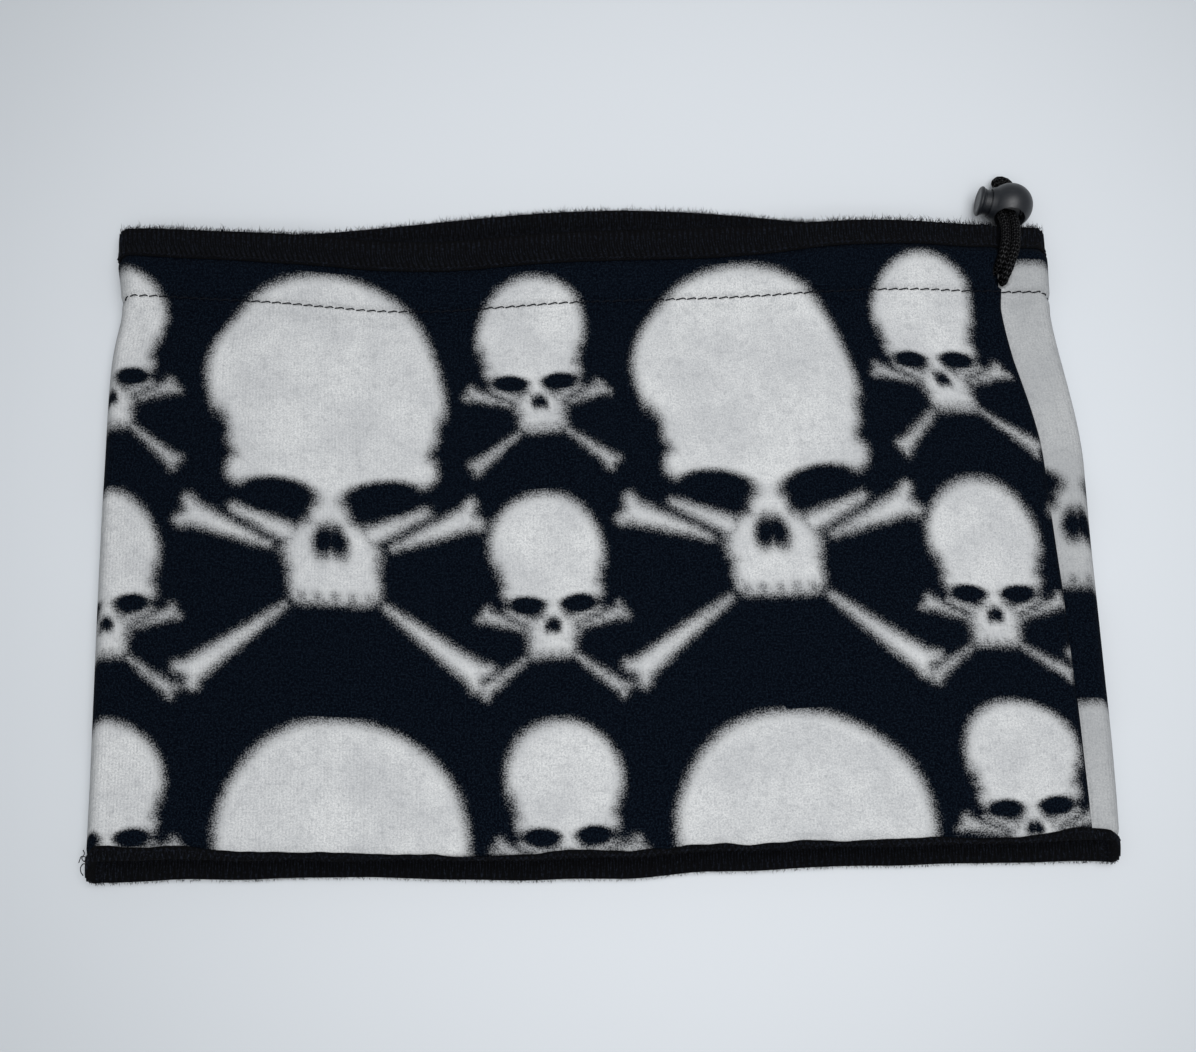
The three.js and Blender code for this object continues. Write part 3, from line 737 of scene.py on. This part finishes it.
def stroke(x, y, ax, ay, bx, by, ra, rb):
    """A line from a to b whose half width goes from ra to rb."""
    t = np.clip(((x - ax) * (bx - ax) + (y - ay) * (by - ay)) / ((bx - ax) ** 2 + (by - ay) ** 2), 0, 1)
    return lerp(ra, rb, t) - np.hypot(x - lerp(ax, bx, t), y - lerp(ay, by, t))


def either(*shapes):
    return np.maximum.reduce(shapes)


def bone(x, y, ax, ay, bx, by):
    """A long thin bone, forked at its far end b."""
    length = math.hypot(bx - ax, by - ay)
    ux, uy = (bx - ax) / length, (by - ay) / length
    shaft = stroke(x, y, ax, ay, bx, by, 0.5, 2.9)
    fork = [
        stroke(x, y, bx, by, bx + 3.0 * ux - side * 3.0 * uy, by + 3.0 * uy + side * 3.0 * ux, 2.3, 1.2)
        for side in (-1, 1)
    ]
    return either(shaft, *fork)


def skull(x, y, crisp, fine=0.0):
    """The motif round its nose, for a skull about 65 mm wide: a plain one, the same on both sides.
    crisp is how much sharper the eyes are than the outline, and fine is how much thinner the bones are."""
    side = np.abs(x)
    vault = either(
        ellipse(x, y, -0.6, 42.5, 32.2, 32.0),
        slab(x, y, 0, 29, 25.8, 15.5, 8),
        slab(x, y, 0, 18.6, 28.0, 3.6, 3.2),
    )
    temple = ellipse(side, y, 32.6, 28.5, 4.6, 7.5)
    eye = crisp * ellipse(side, y, 14.8, 11.2, 12.2, 5.4, 4)
    cheek = stroke(side, y, 26, 7.6, 11.5, 1.2, 0.5, 2.0) - 0.9 * fine
    bridge = either(stroke(side, y, 0, 15, 0, -1, 3.0, 6.2), slab(x, y, 0, 17, 8, 2.6, 2))
    jaw = either(ellipse(x, y, 0, -4.5, 12.2, 9.8), slab(x, y, 0, -12.6, 11.6, 5.2, 3.2))
    nose = 0.75 * crisp * ellipse(side, y, 1.7, -0.8, 3.3, 5.2, 14)
    teeth = either(*(slab(side, y, k, -18.4, 0.7, 2.8, 0.6) for k in (0, 4.6, 9.0)))
    face = np.minimum(either(cheek, jaw, bridge), -eye)
    head = np.minimum(either(np.minimum(vault, -either(eye, temple)), face), -either(nose, teeth))
    upper, lower = bone(side, y, 16.8, -2.2, 36.2, 5.4), bone(side, y, 13.8, -19.3, 36.6, -37.0)
    bones = np.minimum(either(upper, lower), -(either(vault, face, eye) + 3.2)) - 0.3 - fine
    return either(head, bones)


def print_distance(p, q):
    """How far inside the print a place on the flat cloth is, in mm. The knit is pulled a little askew."""
    above = q
    high = smooth(q, 80, 128)
    p = p + SLANT * (q - BIG_AT[1]) + lerp(2.2, -0.8, high)
    q = q + 1.2 - high * (1.0 + 2.6 * bell((p - 108) / 34)) + 0.9 * smooth(p, 20, 60) * (1 - high)
    q = q - 4.6 * smooth(p, 60, 110) * (1 - smooth(q, 20, 60))
    p = p - 1.1 * (1 - smooth(q, 20, 60)) + 1.0 * (1 - smooth(p, -128, -95))
    p = p + 0.9 * np.sin(q / 17.0) + 0.5 * np.sin(q / 7.3 + 1)

    def cell(v, at, size, low):
        return (v - at - low) % size + low

    big = skull(cell(p, BIG_AT[0], REPEAT[0], -REPEAT[0] / 2), cell(q, BIG_AT[1], REPEAT[1], -48.5), 1.8)
    x = cell(p, SMALL_AT[0], REPEAT[0], -REPEAT[0] / 2) / SMALL
    y = cell(q, SMALL_AT[1], REPEAT[1] / 2, -24.0) / SMALL
    small = skull(x * lerp(1.0, 1.06, smooth(y, 4, 16)), y, 3.2, 0.9) * SMALL
    return np.minimum(np.maximum(big, small), 166.5 - above)


def print_place(s, h):
    """Place on the flat cloth of a point of the sleeve, in mm: round it, and up it."""
    s = np.asarray(s, float) % 4
    _, right, r = flat_part(h)
    scale = WIDTH / (right_edge(h) - left_edge(h))
    at_left = -WIDTH / 2 + r * scale
    under_left = at_left - math.pi * r * scale
    strip = -WIDTH / 2 + (right - left_edge(h)) * scale - FAR_SIDE
    under_right = strip + math.pi * r * scale
    front = -WIDTH / 2 + (front_x(s, h) - left_edge(h)) * scale
    squeeze = (3.0 * smooth(h, 0, 70) - 1.3 + 6.2 * smooth(h, 95, 140)) * smooth(front_x(s, h), 0, 100)
    front = np.where(s < SEAM_S, front - FAR_SIDE, front + squeeze)
    part = np.floor(s)
    t = s - part
    back = lerp(under_left, under_right, t)
    fold_right = lerp(under_right, strip, t)
    fold_left = lerp(at_left, under_left, t)
    return np.select([part == 0, part == 1, part == 2], [back, fold_right, front], fold_left)


# ---- Fleece panel ----
NO_PRINT = -9.0  # for the fleece's inside: far outside the print's outline
GROOVE = 0.95
STITCH_PITCH = 2.9
SLIT = {"half_width": 2.3, "half_height": 4.4, "depth": 3.2}


def slit(x, h):
    """How far the cloth sinks where the cord comes out of the seam."""
    away = np.hypot((x - seam_x(EXIT_H)) / SLIT["half_width"], (h - EXIT_H) / SLIT["half_height"])
    return SLIT["depth"] * (1 - smooth(away, 0.6, 1.2))


def panel_outside(s, h):
    """Depth of the panel's outside face."""
    low, top = hem_width(s), top_width(s)
    edge = smooth(h, low + 0.9, low) + smooth(h, HEIGHT - top - 0.9, HEIGHT - top)
    line = h - STITCH_LINE
    row = GROOVE * (0.72 + 0.28 * np.cos(2 * math.pi * stitch_count(s))) * bell(line / 1.15)
    x = place(s, 0, h)[..., 0]
    on_front = (s >= 2) & (s <= 3)
    seam = np.where(on_front, 0.9 * bell((x - seam_x(h)) / 0.5), 0)
    hole = np.where(on_front, slit(x, h), 0)
    return np.maximum(UNDER_BAND * edge + row, np.maximum(seam, hole))


def stitch_count(s):
    """Stitches of the lockstitch row, counted along it from the seam."""
    return print_place(s, STITCH_LINE) / STITCH_PITCH


PANEL_INSIDE = [
    (UNDER_BAND + 0.3, UNDER_BAND + SERGED_LOW), (SERGING, UNDER_BAND + SERGED_LOW),
    (SERGING + 1, FLEECE), (STITCH_LINE - 1.4, FLEECE), (STITCH_LINE - 0.4, GROOVE + STITCHED),
    (STITCH_LINE + 1.1, GROOVE + STITCHED), (CHANNEL_LOW, PRESSED), (CHANNEL_HIGH + 0.6, PRESSED),
    (HEIGHT - SERGING, UNDER_BAND + SERGED_TOP), (HEIGHT - UNDER_BAND - 0.3, UNDER_BAND + SERGED_TOP),
]


def panel_rows():
    low, high = UNDER_BAND + 0.3, HEIGHT - UNDER_BAND - 0.3
    body = np.arange(low, STITCH_LINE - 4, 1.25)
    line = np.arange(STITCH_LINE - 4, STITCH_LINE + 4, 0.4)
    above = np.arange(STITCH_LINE + 4, high, 0.8)
    rows = np.r_[body, line, above]
    return np.r_[rows[: len(rows) - (len(rows) % 3)], high]


def panel_stations():
    near = np.arange(0, 14, 0.45)
    near = SEAM_S + near / 245
    far = np.linspace(near[-1], 3, 200)[1:-1]
    right = np.linspace(2, SEAM_S, 12)[:-1]
    fold = np.arange(12) / 12
    back = np.arange(130) / 130
    all_s = np.r_[back, 1 + fold, right, SEAM_S - 2e-4, near[0] + 2e-4, near[1:], far, 3, 3 + fold[1:]]
    spare = len(all_s) % 3
    return np.delete(all_s, [5 + 7 * k for k in range(spare)])


def make_panel():
    s, h = panel_stations(), panel_rows()
    s_grid, h_grid = np.meshgrid(s, h, indexing="ij")
    outside = place(s_grid, panel_outside(s_grid, h_grid), h_grid)
    s_in, h_in = s_grid[::3, ::3], h_grid[::3, ::3]
    depth = np.interp(h_in, *zip(*PANEL_INSIDE))
    hole = np.where((s_in >= 2) & (s_in <= 3), slit(place(s_in, 0, h_in)[..., 0], h_in), 0)
    inside = place(s_in, np.maximum(depth, hole + 0.6), h_in)
    n, m = s_grid.shape
    k, l = s_in.shape
    first = n * m
    faces = lattice(n, m, closed_rows=True) + lattice(k, l, closed_rows=True, start=first, flip=True)
    for column, coarse in ((0, 0), (m - 1, l - 1)):
        for i in range(k):
            here = first + i * l + coarse
            after = first + (i + 1) % k * l + coarse
            fine = [((3 * i + step) % n) * m + column for step in range(4)]
            strip = [[here, fine[step], fine[step + 1]] for step in range(3)] + [[here, fine[3], after]]
            faces += [face[::-1] for face in strip] if column == 0 else strip
    points = np.vstack([outside.reshape(-1, 3), inside.reshape(-1, 3)])
    made = new_object("fleece_panel", points, faces, FLEECE_LOOK)
    p_out, p_in = print_place(s_grid, h_grid), print_place(s_in, h_in)
    shown = print_distance(p_out, h_grid)
    attribute(made, "print", np.r_[shown.ravel(), np.full(p_in.size, NO_PRINT)])
    # Painted shade where the cloth turns over: the upper part of the right fold with the strip on to the
    # side seam, and the left fold, are greyed.
    strip = smooth(s_grid, 1.2, 1.8) * (s_grid < SEAM_S)
    shade_on_left_fold = 0.5 * smooth(s_grid, 2.985, 3.25)
    attribute(made, "fold_shading", np.r_[(0.48 * strip + shade_on_left_fold).ravel(), np.zeros(p_in.size)])
    flat = np.stack([np.r_[p_out.ravel(), p_in.ravel()], np.r_[h_grid.ravel(), h_in.ravel()]], -1)
    flat[:, 0] += FAR_SIDE
    layer = made.data.uv_layers.new(name="cloth")
    corner = np.empty(len(made.data.loops), np.int32)
    made.data.loops.foreach_get("vertex_index", corner)
    layer.data.foreach_set("uv", (flat[corner] * MM).astype(np.float32).ravel())
    face_out(made)
    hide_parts("outer_panel")
    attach(made, "sleeve")
    return made


PANEL = make_panel()


# ---- Facing, seam and row of stitches ----
def make_facing():
    tail, at_top = STITCH_LINE - FACING_TAIL, UNDER_BAND + SERGED_TOP + GAP
    at_stitch = GROOVE + STITCHED + GAP
    face = [
        (FLEECE + GAP, tail), (FLEECE + GAP, STITCH_LINE - 1.2), (at_stitch, STITCH_LINE - 0.2),
        (at_stitch, STITCH_LINE + 0.9), (FACING_IN_CHANNEL, CHANNEL_LOW + 0.4),
        (FACING_IN_CHANNEL, CHANNEL_HIGH - 0.2), (at_top, HEIGHT - SERGING + 0.2),
        (at_top, HEIGHT - SERGING / 2), (at_top, HEIGHT - UNDER_BAND - 0.3),
    ]
    back = [(depth + FACING, h) for depth, h in face][::-1]
    made = ring_mesh("channel_facing_cloth", face + back, stations(110, 10), FACING_LOOK)
    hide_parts("channel_facing")
    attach(made, "sleeve")
    return made


def make_side_seam():
    """The seam allowance inside, with its own serging thread to and fro across it."""
    low, high = SERGING + 1.5, STITCH_LINE - 5.0
    h = np.linspace(low, high, 90)
    x = seam_x(h)
    near, wide, thick = FLEECE + GAP, 6.5, 1.2
    section = [(-wide, near + 0.1), (-wide * 0.5, near), (0, near), (0, near + thick)]
    section += [(-wide * 0.5, near + thick * 1.05), (-wide, near + thick * 0.75)]
    rings = np.stack([front_depth(x + dx, depth, h) for dx, depth in section], 1)
    faces = lattice(len(h), len(section), closed_columns=True)
    faces += [face[::-1] for face in end_faces(len(section), len(h) * len(section))]
    made = face_out(new_object("seam_allowance", rings.reshape(-1, 3), faces, FACING_LOOK))
    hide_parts("side_seam_serging")
    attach(made, "sleeve")
    turns = np.arange(low + 1, high - 1, 1.3)
    across = np.where(np.arange(len(turns)) % 2, -wide + 0.5, -0.5)
    line = front_depth(seam_x(turns) + across, near + thick * 1.0 + 0.05, turns)
    line = np.concatenate([np.linspace(a, b, 5)[:-1] for a, b in zip(line, line[1:])])
    thread = tubes("seam_serging_thread", [line], 0.28, THREAD_LOOK, around=5)
    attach(thread, "sleeve")


def make_stitches():
    """The lockstitch: needle thread outside and bobbin thread inside, each dipping where they lock."""
    # Where the row is, as places round the sleeve in even steps of the cloth.
    s = np.r_[np.linspace(SEAM_S + 4e-4, 4, 3000), np.linspace(0, SEAM_S - 4e-4, 3000)[1:]]
    gone = travelled(place(s, 0, STITCH_LINE))
    count = int(gone[-1] / STITCH_PITCH)
    even = np.linspace(0, count, count * 10, endpoint=False)
    way = np.interp(even * gone[-1] / count, gone, np.r_[s[:3000], s[3000:] + 4]) % 4
    phase = even % 1
    dip = np.maximum(bell(phase / 0.11), bell((phase - 1) / 0.11))
    lean = 0.12 * np.sin(2 * math.pi * phase)
    in_fold = smooth(way, 0.995, 1.3) * (1 - smooth(way, 1.7, 2.005)) + smooth(way, 3, 3.3)
    sunk = 0.36 - 0.2 * np.sin(math.pi * phase) + 0.8 * dip + 0.4 * in_fold
    on_face = place(way, sunk, STITCH_LINE + lean)
    top = tubes("needle_thread", [on_face], 0.17, STITCH_LOOK, closed=True)
    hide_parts("channel_stitch_needle_thread")
    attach(top, "sleeve")
    deep = GROOVE + STITCHED + GAP + FACING
    inside = place(way, deep + 0.15 + 0.1 * np.sin(math.pi * phase) - 0.5 * dip, STITCH_LINE + lean)
    bobbin = tubes("bobbin_thread", [inside], 0.2, STITCH_LOOK, closed=True)
    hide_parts("channel_stitch_bobbin_thread")
    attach(bobbin, "sleeve")


FACING_STRIP = make_facing()
make_side_seam()
make_stitches()


# ---- Serging ----
THREAD = 0.31  # half width of the looper threads


def even_way(h, depth, pitch):
    """Places round the sleeve, a whole number of them, about this far apart at this height."""
    s = np.linspace(0, 4, 4001)
    line = place(s, depth, h)
    line[-1] = line[0]
    gone = travelled(line)
    count = int(round(gone[-1] / pitch))
    return lambda steps: np.interp(np.arange(count * steps) / steps * gone[-1] / count, gone, s), count


def off_table(points, lowest):
    """The points, with none of them nearer the table than that."""
    return np.c_[points[:, :2], np.maximum(points[:, 2], lowest)]


def make_serging(name, node, edge, inward, cloth_inside, outside_width, pitch):
    """A raw edge wrapped in thread: a dense core, looper threads to and fro over both faces, and the
    needle's thread along their inner ends."""

    def at(distance):
        return edge + inward * distance

    inner = UNDER_BAND + cloth_inside + GAP
    thick = BAND - 0.12
    core = [
        (0.22, at(0.9)), (0.2, at(SERGING / 2)), (0.26, at(SERGING - 0.5)), (BAND, at(SERGING - 0.35)),
        (BAND, at(SERGING / 2)), (BAND, at(BAND)), (inner, at(BAND)), (inner, at(SERGING / 2)),
        (inner, at(SERGING - 0.8)), (inner + thick * 0.7, at(SERGING - 0.9)),
        (inner + thick, at(SERGING / 2)), (inner + thick, at(0.9)), (inner + 0.1, at(0.25)),
        ((inner + BAND) / 2, at(0.12)), (BAND - 0.1, at(0.25)),
    ]
    outer = np.array([depth <= BAND and k < 6 for k, (depth, _) in enumerate(core)])

    def ripple(s, depth, height):
        """The outside half of the core as wide as it shows."""
        gone = (height - edge) * inward
        share = outside_width(s) / SERGING
        return depth, np.where(outer[None, :] & (gone > BAND), edge + inward * gone * share, height)

    # The core takes the darker thread: painted shade between the loops.
    band = ring_mesh(name, core, stations(170, 12), CORE_SHADE_LOOK, ripple)
    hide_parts(node)
    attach(band, "sleeve")

    # One loop of the threads: up the outside face, over the edge, and back down the inside one.
    way, count = even_way(at(SERGING / 2), 0, pitch)
    steps = 14
    s = way(steps)
    phase = (np.arange(count * steps) / steps) % 1
    swing = np.abs(2 * phase - 1)  # 1 at the edge, 0 at the inner end
    swing = smooth(swing, -0.12, 1.12)
    jitter = clouds(np.arange(len(s)) / steps, 0, 1.7, 5.5)
    distance = lerp(SERGING - 0.4 + 0.35 * jitter, 0.25, swing)
    seen = lerp(outside_width(s) - 0.4 + 0.35 * jitter, 0.25, swing)
    lift = 0.12 * np.sin(math.pi * swing) - 0.1 * (swing < 0.1)
    outside = off_table(place(s, 0.24 - lift, at(seen)), 0.3)
    piece = tubes(name + "_outside_loops", [outside], THREAD, THREAD_LOOK, 5, True, 0.7)
    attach(piece, "sleeve")
    lower = place(s, inner + thick + 0.02 + 0.5 * lift, at(np.minimum(distance, SERGING - 0.9)))
    piece = tubes(name + "_inside_loops", [lower], THREAD, THREAD_LOOK, 5, True, 0.7)
    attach(piece, "sleeve")

    # The needle's thread: short stitches in a row, just inside the loops' ends.
    s = way(8)
    phase = (np.arange(len(s)) / 8) % 1
    dip = np.maximum(bell(phase / 0.16), bell((phase - 1) / 0.16))
    row_at = np.maximum(outside_width(s) - 1.3, 0.9)
    depth = 0.1 + 0.55 * dip - 0.15 * np.sin(math.pi * phase)
    row = off_table(place(s, depth, at(row_at + 0.1 * np.sin(6.28 * phase))), 0.26)
    piece = tubes(name + "_needle_row", [row], 0.24, THREAD_LOOK, 5, True)
    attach(piece, "sleeve")


make_serging("top_edge_serging", "top_serging", HEIGHT, -1, SERGED_TOP + GAP + FACING, top_width, 1.45)
make_serging("lower_edge_serging", "bottom_serging", 0, 1, SERGED_LOW, hem_width, 1.6)


# ---- Loose fibres ----
def make_fuzz(name, count, edge, outward, where, longest, seed):
    """Fine fibres that stand off a serged edge, each one a thin closed spike with a bend in it."""
    draw = np.random.default_rng(seed)
    s = where(draw.random(count))
    depth = draw.random(count) * 3.3
    root = place(s, depth, edge - outward * (draw.random(count) * 0.7 - 0.1))
    along = place(s + 0.002, depth, edge) - place(s, depth, edge)
    along /= np.linalg.norm(along, axis=1)[:, None]
    lean = draw.normal(0, 0.55, (count, 3))
    way = along * lean[:, :1] + np.array([0.0, outward, 0.0]) + np.array([0, 0, 0.6]) * lean[:, 1:2]
    way /= np.linalg.norm(way, axis=1)[:, None]
    length = (0.5 + (longest - 0.5) * draw.random(count) ** 2)[:, None]
    bent = way + draw.normal(0, 0.45, (count, 3))
    side = np.cross(way, [0.0, 0.0, 1.0])
    side /= np.linalg.norm(side, axis=1)[:, None]
    up = np.cross(side, way)
    corners = [(1, 0), (-0.5, 0.87), (-0.5, -0.87)]
    middle, tip = root + way * length * 0.55, root + way * length * 0.55 + bent * length * 0.45
    ends = ((root, 0.07), (middle, 0.05))
    rings = [centre + r * (a * side + b * up) for centre, r in ends for a, b in corners]
    points = np.stack([*rings, tip], 1).reshape(-1, 3)
    points[:, 2] = np.maximum(points[:, 2], 0.05 + 0.1 * np.abs(np.sin(np.arange(len(points)))))
    faces = []
    for k in range(count):
        a = 7 * k
        faces.append([a, a + 1, a + 2])
        for i in range(3):
            j = (i + 1) % 3
            faces.append([a + i, a + 3 + i, a + 3 + j, a + j])
            faces.append([a + 3 + i, a + 6, a + 3 + j])
    made = face_out(new_object(name, points, faces, THREAD_LOOK))
    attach(made, "sleeve")


def anywhere(t):
    """Evenly along the edge: the folds are short."""
    return np.interp(t, [0, 0.475, 0.5, 0.975, 1], [0, 1, 2, 3, 4])


make_fuzz("top_edge_fuzz", 12000, HEIGHT, 1, anywhere, 2.1, 3)
make_fuzz("lower_edge_fuzz", 3000, 0, -1, anywhere, 0.8, 4)


def make_tails():
    """The serging's thread ends, left a few millimetres long at the lower left corner."""
    start = place(3.5, 0.3, np.array([4.2, 5.0, 5.8]))
    ways = [
        [(0, 0, 0), (-1.0, 0.3, 0.3), (-1.7, -0.5, 0.2), (-1.9, -1.8, -0.5), (-1.5, -2.9, -1.2)],
        [(0, 0, 0), (-0.9, 0.1, 0.2), (-1.6, 0.9, 0.1), (-1.2, 2.0, -0.4), (-1.8, 2.9, -0.9)],
        [(0, 0, 0), (-0.7, 0.5, 0.4), (-1.5, 0.6, 0.6), (-2.1, -0.3, 0.1), (-2.6, -1.1, -0.6)],
    ]
    lines = [off_table(catmull_rom(root + np.array(way), 0.12)[0], 0.2) for root, way in zip(start, ways)]
    made = tubes("thread_tails", lines, 0.13, THREAD_LOOK, around=6)
    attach(made, "sleeve")


make_tails()


def declare_cloth():
    """Lists the threads and pieces sewn onto the panel; nothing uses the list."""
    sewn_on = ["needle_thread", "bobbin_thread", "seam_allowance", "seam_serging_thread", "thread_tails"]
    for edge in ("top_edge_serging", "lower_edge_serging"):
        sewn_on += [edge, edge + "_outside_loops", edge + "_inside_loops", edge + "_needle_row"]


declare_cloth()


# ---- Cord lock ----
def turned(name, outline, around):
    """A solid of revolution about the lock's x axis, from (x, radius) points that start and end on it."""
    turn = round_turn(around)
    rings = outline[1:-1]
    points = [[x, r * math.cos(a), r * math.sin(a)] for x, r in rings for a in turn]
    faces = lattice(len(rings), around, closed_columns=True)
    points += [[outline[0][0], 0, 0], [outline[-1][0], 0, 0]]
    last = (len(rings) - 1) * around
    for k in range(around):
        after = (k + 1) % around
        faces.append([len(rings) * around, after, k])
        faces.append([len(rings) * around + 1, last + k, last + after])
    return face_out(new_object(name, points, faces, PLASTIC_LOOK))


def cut(made, tool):
    """Takes the tool's shape out of the piece, and the tool away."""
    modifier = made.modifiers.new("cut", "BOOLEAN")
    modifier.operation, modifier.solver, modifier.object = "DIFFERENCE", "EXACT", tool
    apply_modifiers(made)
    mesh = tool.data
    bpy.data.objects.remove(tool)
    bpy.data.meshes.remove(mesh)


def apply_modifiers(made):
    graph = bpy.context.evaluated_depsgraph_get()
    mesh = bpy.data.meshes.new_from_object(made.evaluated_get(graph), depsgraph=graph)
    made.modifiers.clear()
    old = made.data
    made.data = mesh
    bpy.data.meshes.remove(old)


def soften(made, width):
    """Rounds the piece's sharp edges."""
    modifier = made.modifiers.new("round", "BEVEL")
    modifier.width, modifier.segments = width * MM, 3
    modifier.limit_method, modifier.angle_limit = "ANGLE", math.radians(35)
    apply_modifiers(made)
    made.data.shade_smooth()


def put_in_lock(made):
    made.data.transform(Matrix.Translation(Vector(LOCK * MM)) @ LOCK_TURN.to_4x4())


FACE_X = -BALL_R + 0.95  # the flat round the plunger's mouth
CAP_UNDER = FACE_X - TRAVEL - 0.3
STEM, STEM_PLAY = 3.45, 0.15
SLOT_FROM, SLOT_TO = -BORE / 2 - TRAVEL, BORE / 2 - TRAVEL
STEM_END = SLOT_TO + 0.75
PLUNGER_BORE_END = STEM_END + TRAVEL + 0.6
SPRING_WIRE, SPRING_TURNS = 0.45, 3


def round_tool(radius, low, high, around=72):
    """A flared cutter for the cord's bore, along y: wider at both mouths, as the moulding is."""
    stops = np.linspace(low, high, 41)
    flare = 0.55 * smooth(np.abs(stops), BALL_R * 0.52, BALL_R * 0.86)
    turn = round_turn(around)
    rings = zip(stops, radius + flare)
    points = [[r * math.cos(a), y, r * math.sin(a)] for y, r in rings for a in turn]
    faces = lattice(len(stops), around, closed_columns=True)
    faces += end_faces(around, len(points))
    return face_out(new_object("cord_bore_tool", points, faces, PLASTIC_LOOK))


def make_ball():
    start = math.acos(-FACE_X / BALL_R)
    arcs = np.linspace(start, math.pi, 44)
    # A low collar stands round the plunger's mouth.
    lip = STEM + STEM_PLAY
    outline = [(PLUNGER_BORE_END, 0), (PLUNGER_BORE_END, lip), (FACE_X - 0.12, lip)]
    outline += [(FACE_X - 0.3, lip + 0.15), (FACE_X - 0.3, lip + 0.5), (FACE_X - 0.05, lip + 0.62)]
    ball = [(-BALL_R * math.cos(a), BALL_R * math.sin(a)) for a in arcs]
    outline += [(x, r) for x, r in ball if r > lip + 0.75 or x > 0]
    made = turned("lock_ball", outline, 96)
    cut(made, round_tool(BORE / 2 - 0.02, -BALL_R * 1.1, BALL_R * 1.1))
    soften(made, 0.22)
    put_in_lock(made)
    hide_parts("lock_body")
    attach(made, "cord_lock")


def make_plunger():
    out, cap, thick = CAP_UNDER - 1.6, 4.15, 1.6
    outline = [
        (out + 0.16, 0), (out + 0.16, cap - 2.1), (out + 0.1, cap - 1.5), (out, cap - 1.1),
        (out + 0.02, cap - 0.75), (out + 0.16, cap - 0.35), (out + 0.42, cap - 0.08), (out + 0.7, cap),
        (out + 0.95, cap - 0.1), (out + thick - 0.16, cap - 0.55), (out + thick, STEM + 0.25),
        (out + thick + 0.2, STEM), (STEM_END - 0.3, STEM), (STEM_END, STEM - 0.3), (STEM_END, 0),
    ]
    made = turned("lock_button", outline, 64)
    half = CORD / 2 + 2 * CORD_PLAY
    ends = np.linspace(-math.pi / 2, math.pi / 2, 17)
    shape = [(SLOT_TO - half + half * math.cos(a), half * math.sin(a)) for a in ends]
    shape += [(SLOT_FROM + half - half * math.cos(a), -half * math.sin(a)) for a in ends]
    points = [(x, y, z) for y in (-BALL_R, BALL_R) for x, z in shape]
    count = len(shape)
    faces = lattice(2, count, closed_columns=True) + end_faces(count, 2 * count)
    cut(made, face_out(new_object("slot_tool", points, faces, PLASTIC_LOOK)))
    soften(made, 0.12)
    put_in_lock(made)
    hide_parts("lock_plunger")
    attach(made, "plunger")


def make_spring():
    """A conical spring behind the plunger, whose turns nest as it is pressed."""
    t = np.linspace(0, 1, 140)
    turn = t * SPRING_TURNS * 2 * math.pi
    radius = lerp(1.2, STEM - 0.5, t)
    inset = 0.1 + SPRING_WIRE / 2
    along = lerp(STEM_END + inset, PLUNGER_BORE_END - inset, t)
    path = np.stack([along, radius * np.cos(turn), radius * np.sin(turn)], -1)
    made = tubes("lock_coil_spring", [path], SPRING_WIRE / 2, STEEL_LOOK, around=10)
    put_in_lock(made)
    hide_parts("lock_spring")
    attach(made, "cord_lock")
    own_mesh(made)


make_ball()
make_plunger()
make_spring()


# ---- Stage ----
def make_stage():
    mesh = bpy.data.meshes.new("table")
    size, down = 3.0, -0.0002
    corners = [(-size, -size), (size, -size), (size, size), (-size, size)]
    mesh.from_pydata([(x, y, down) for x, y in corners], [], [(0, 1, 2, 3)])
    table = bpy.data.objects.new("table", mesh)
    bpy.context.collection.objects.link(table)
    mesh.materials.append(floor_material())


def area_light(name, place_mm, aim_mm, size, watts, colour):
    data = bpy.data.lights.new(name, "AREA")
    data.shape, data.size, data.energy, data.color = "DISK", size, watts, colour
    light = bpy.data.objects.new(name, data)
    light.location = Vector(place_mm) * MM
    light.rotation_euler = (Vector(aim_mm) * MM - light.location).to_track_quat("-Z", "Y").to_euler()
    bpy.context.collection.objects.link(light)


def make_light():
    area_light("window", (125, 85, 600), (15, 0, 0), 0.4, 1.8, (0.99, 0.99, 1.0))
    area_light("fill", (-200, 40, 600), (0, -20, 0), 0.5, 0.5, (0.99, 0.99, 1.0))
    area_light("front", (50, -190, 580), (20, -60, 0), 0.36, 1.3, (1.0, 0.995, 0.99))
    world = bpy.data.worlds.new("room")
    world.use_nodes = True
    background = world.node_tree.nodes["Background"]
    background.inputs["Color"].default_value = (0.93, 0.96, 1.0, 1)
    background.inputs["Strength"].default_value = 0.31
    bpy.context.scene.world = world


make_stage()
make_light()
bpy.context.scene.view_settings.view_transform = "Standard"
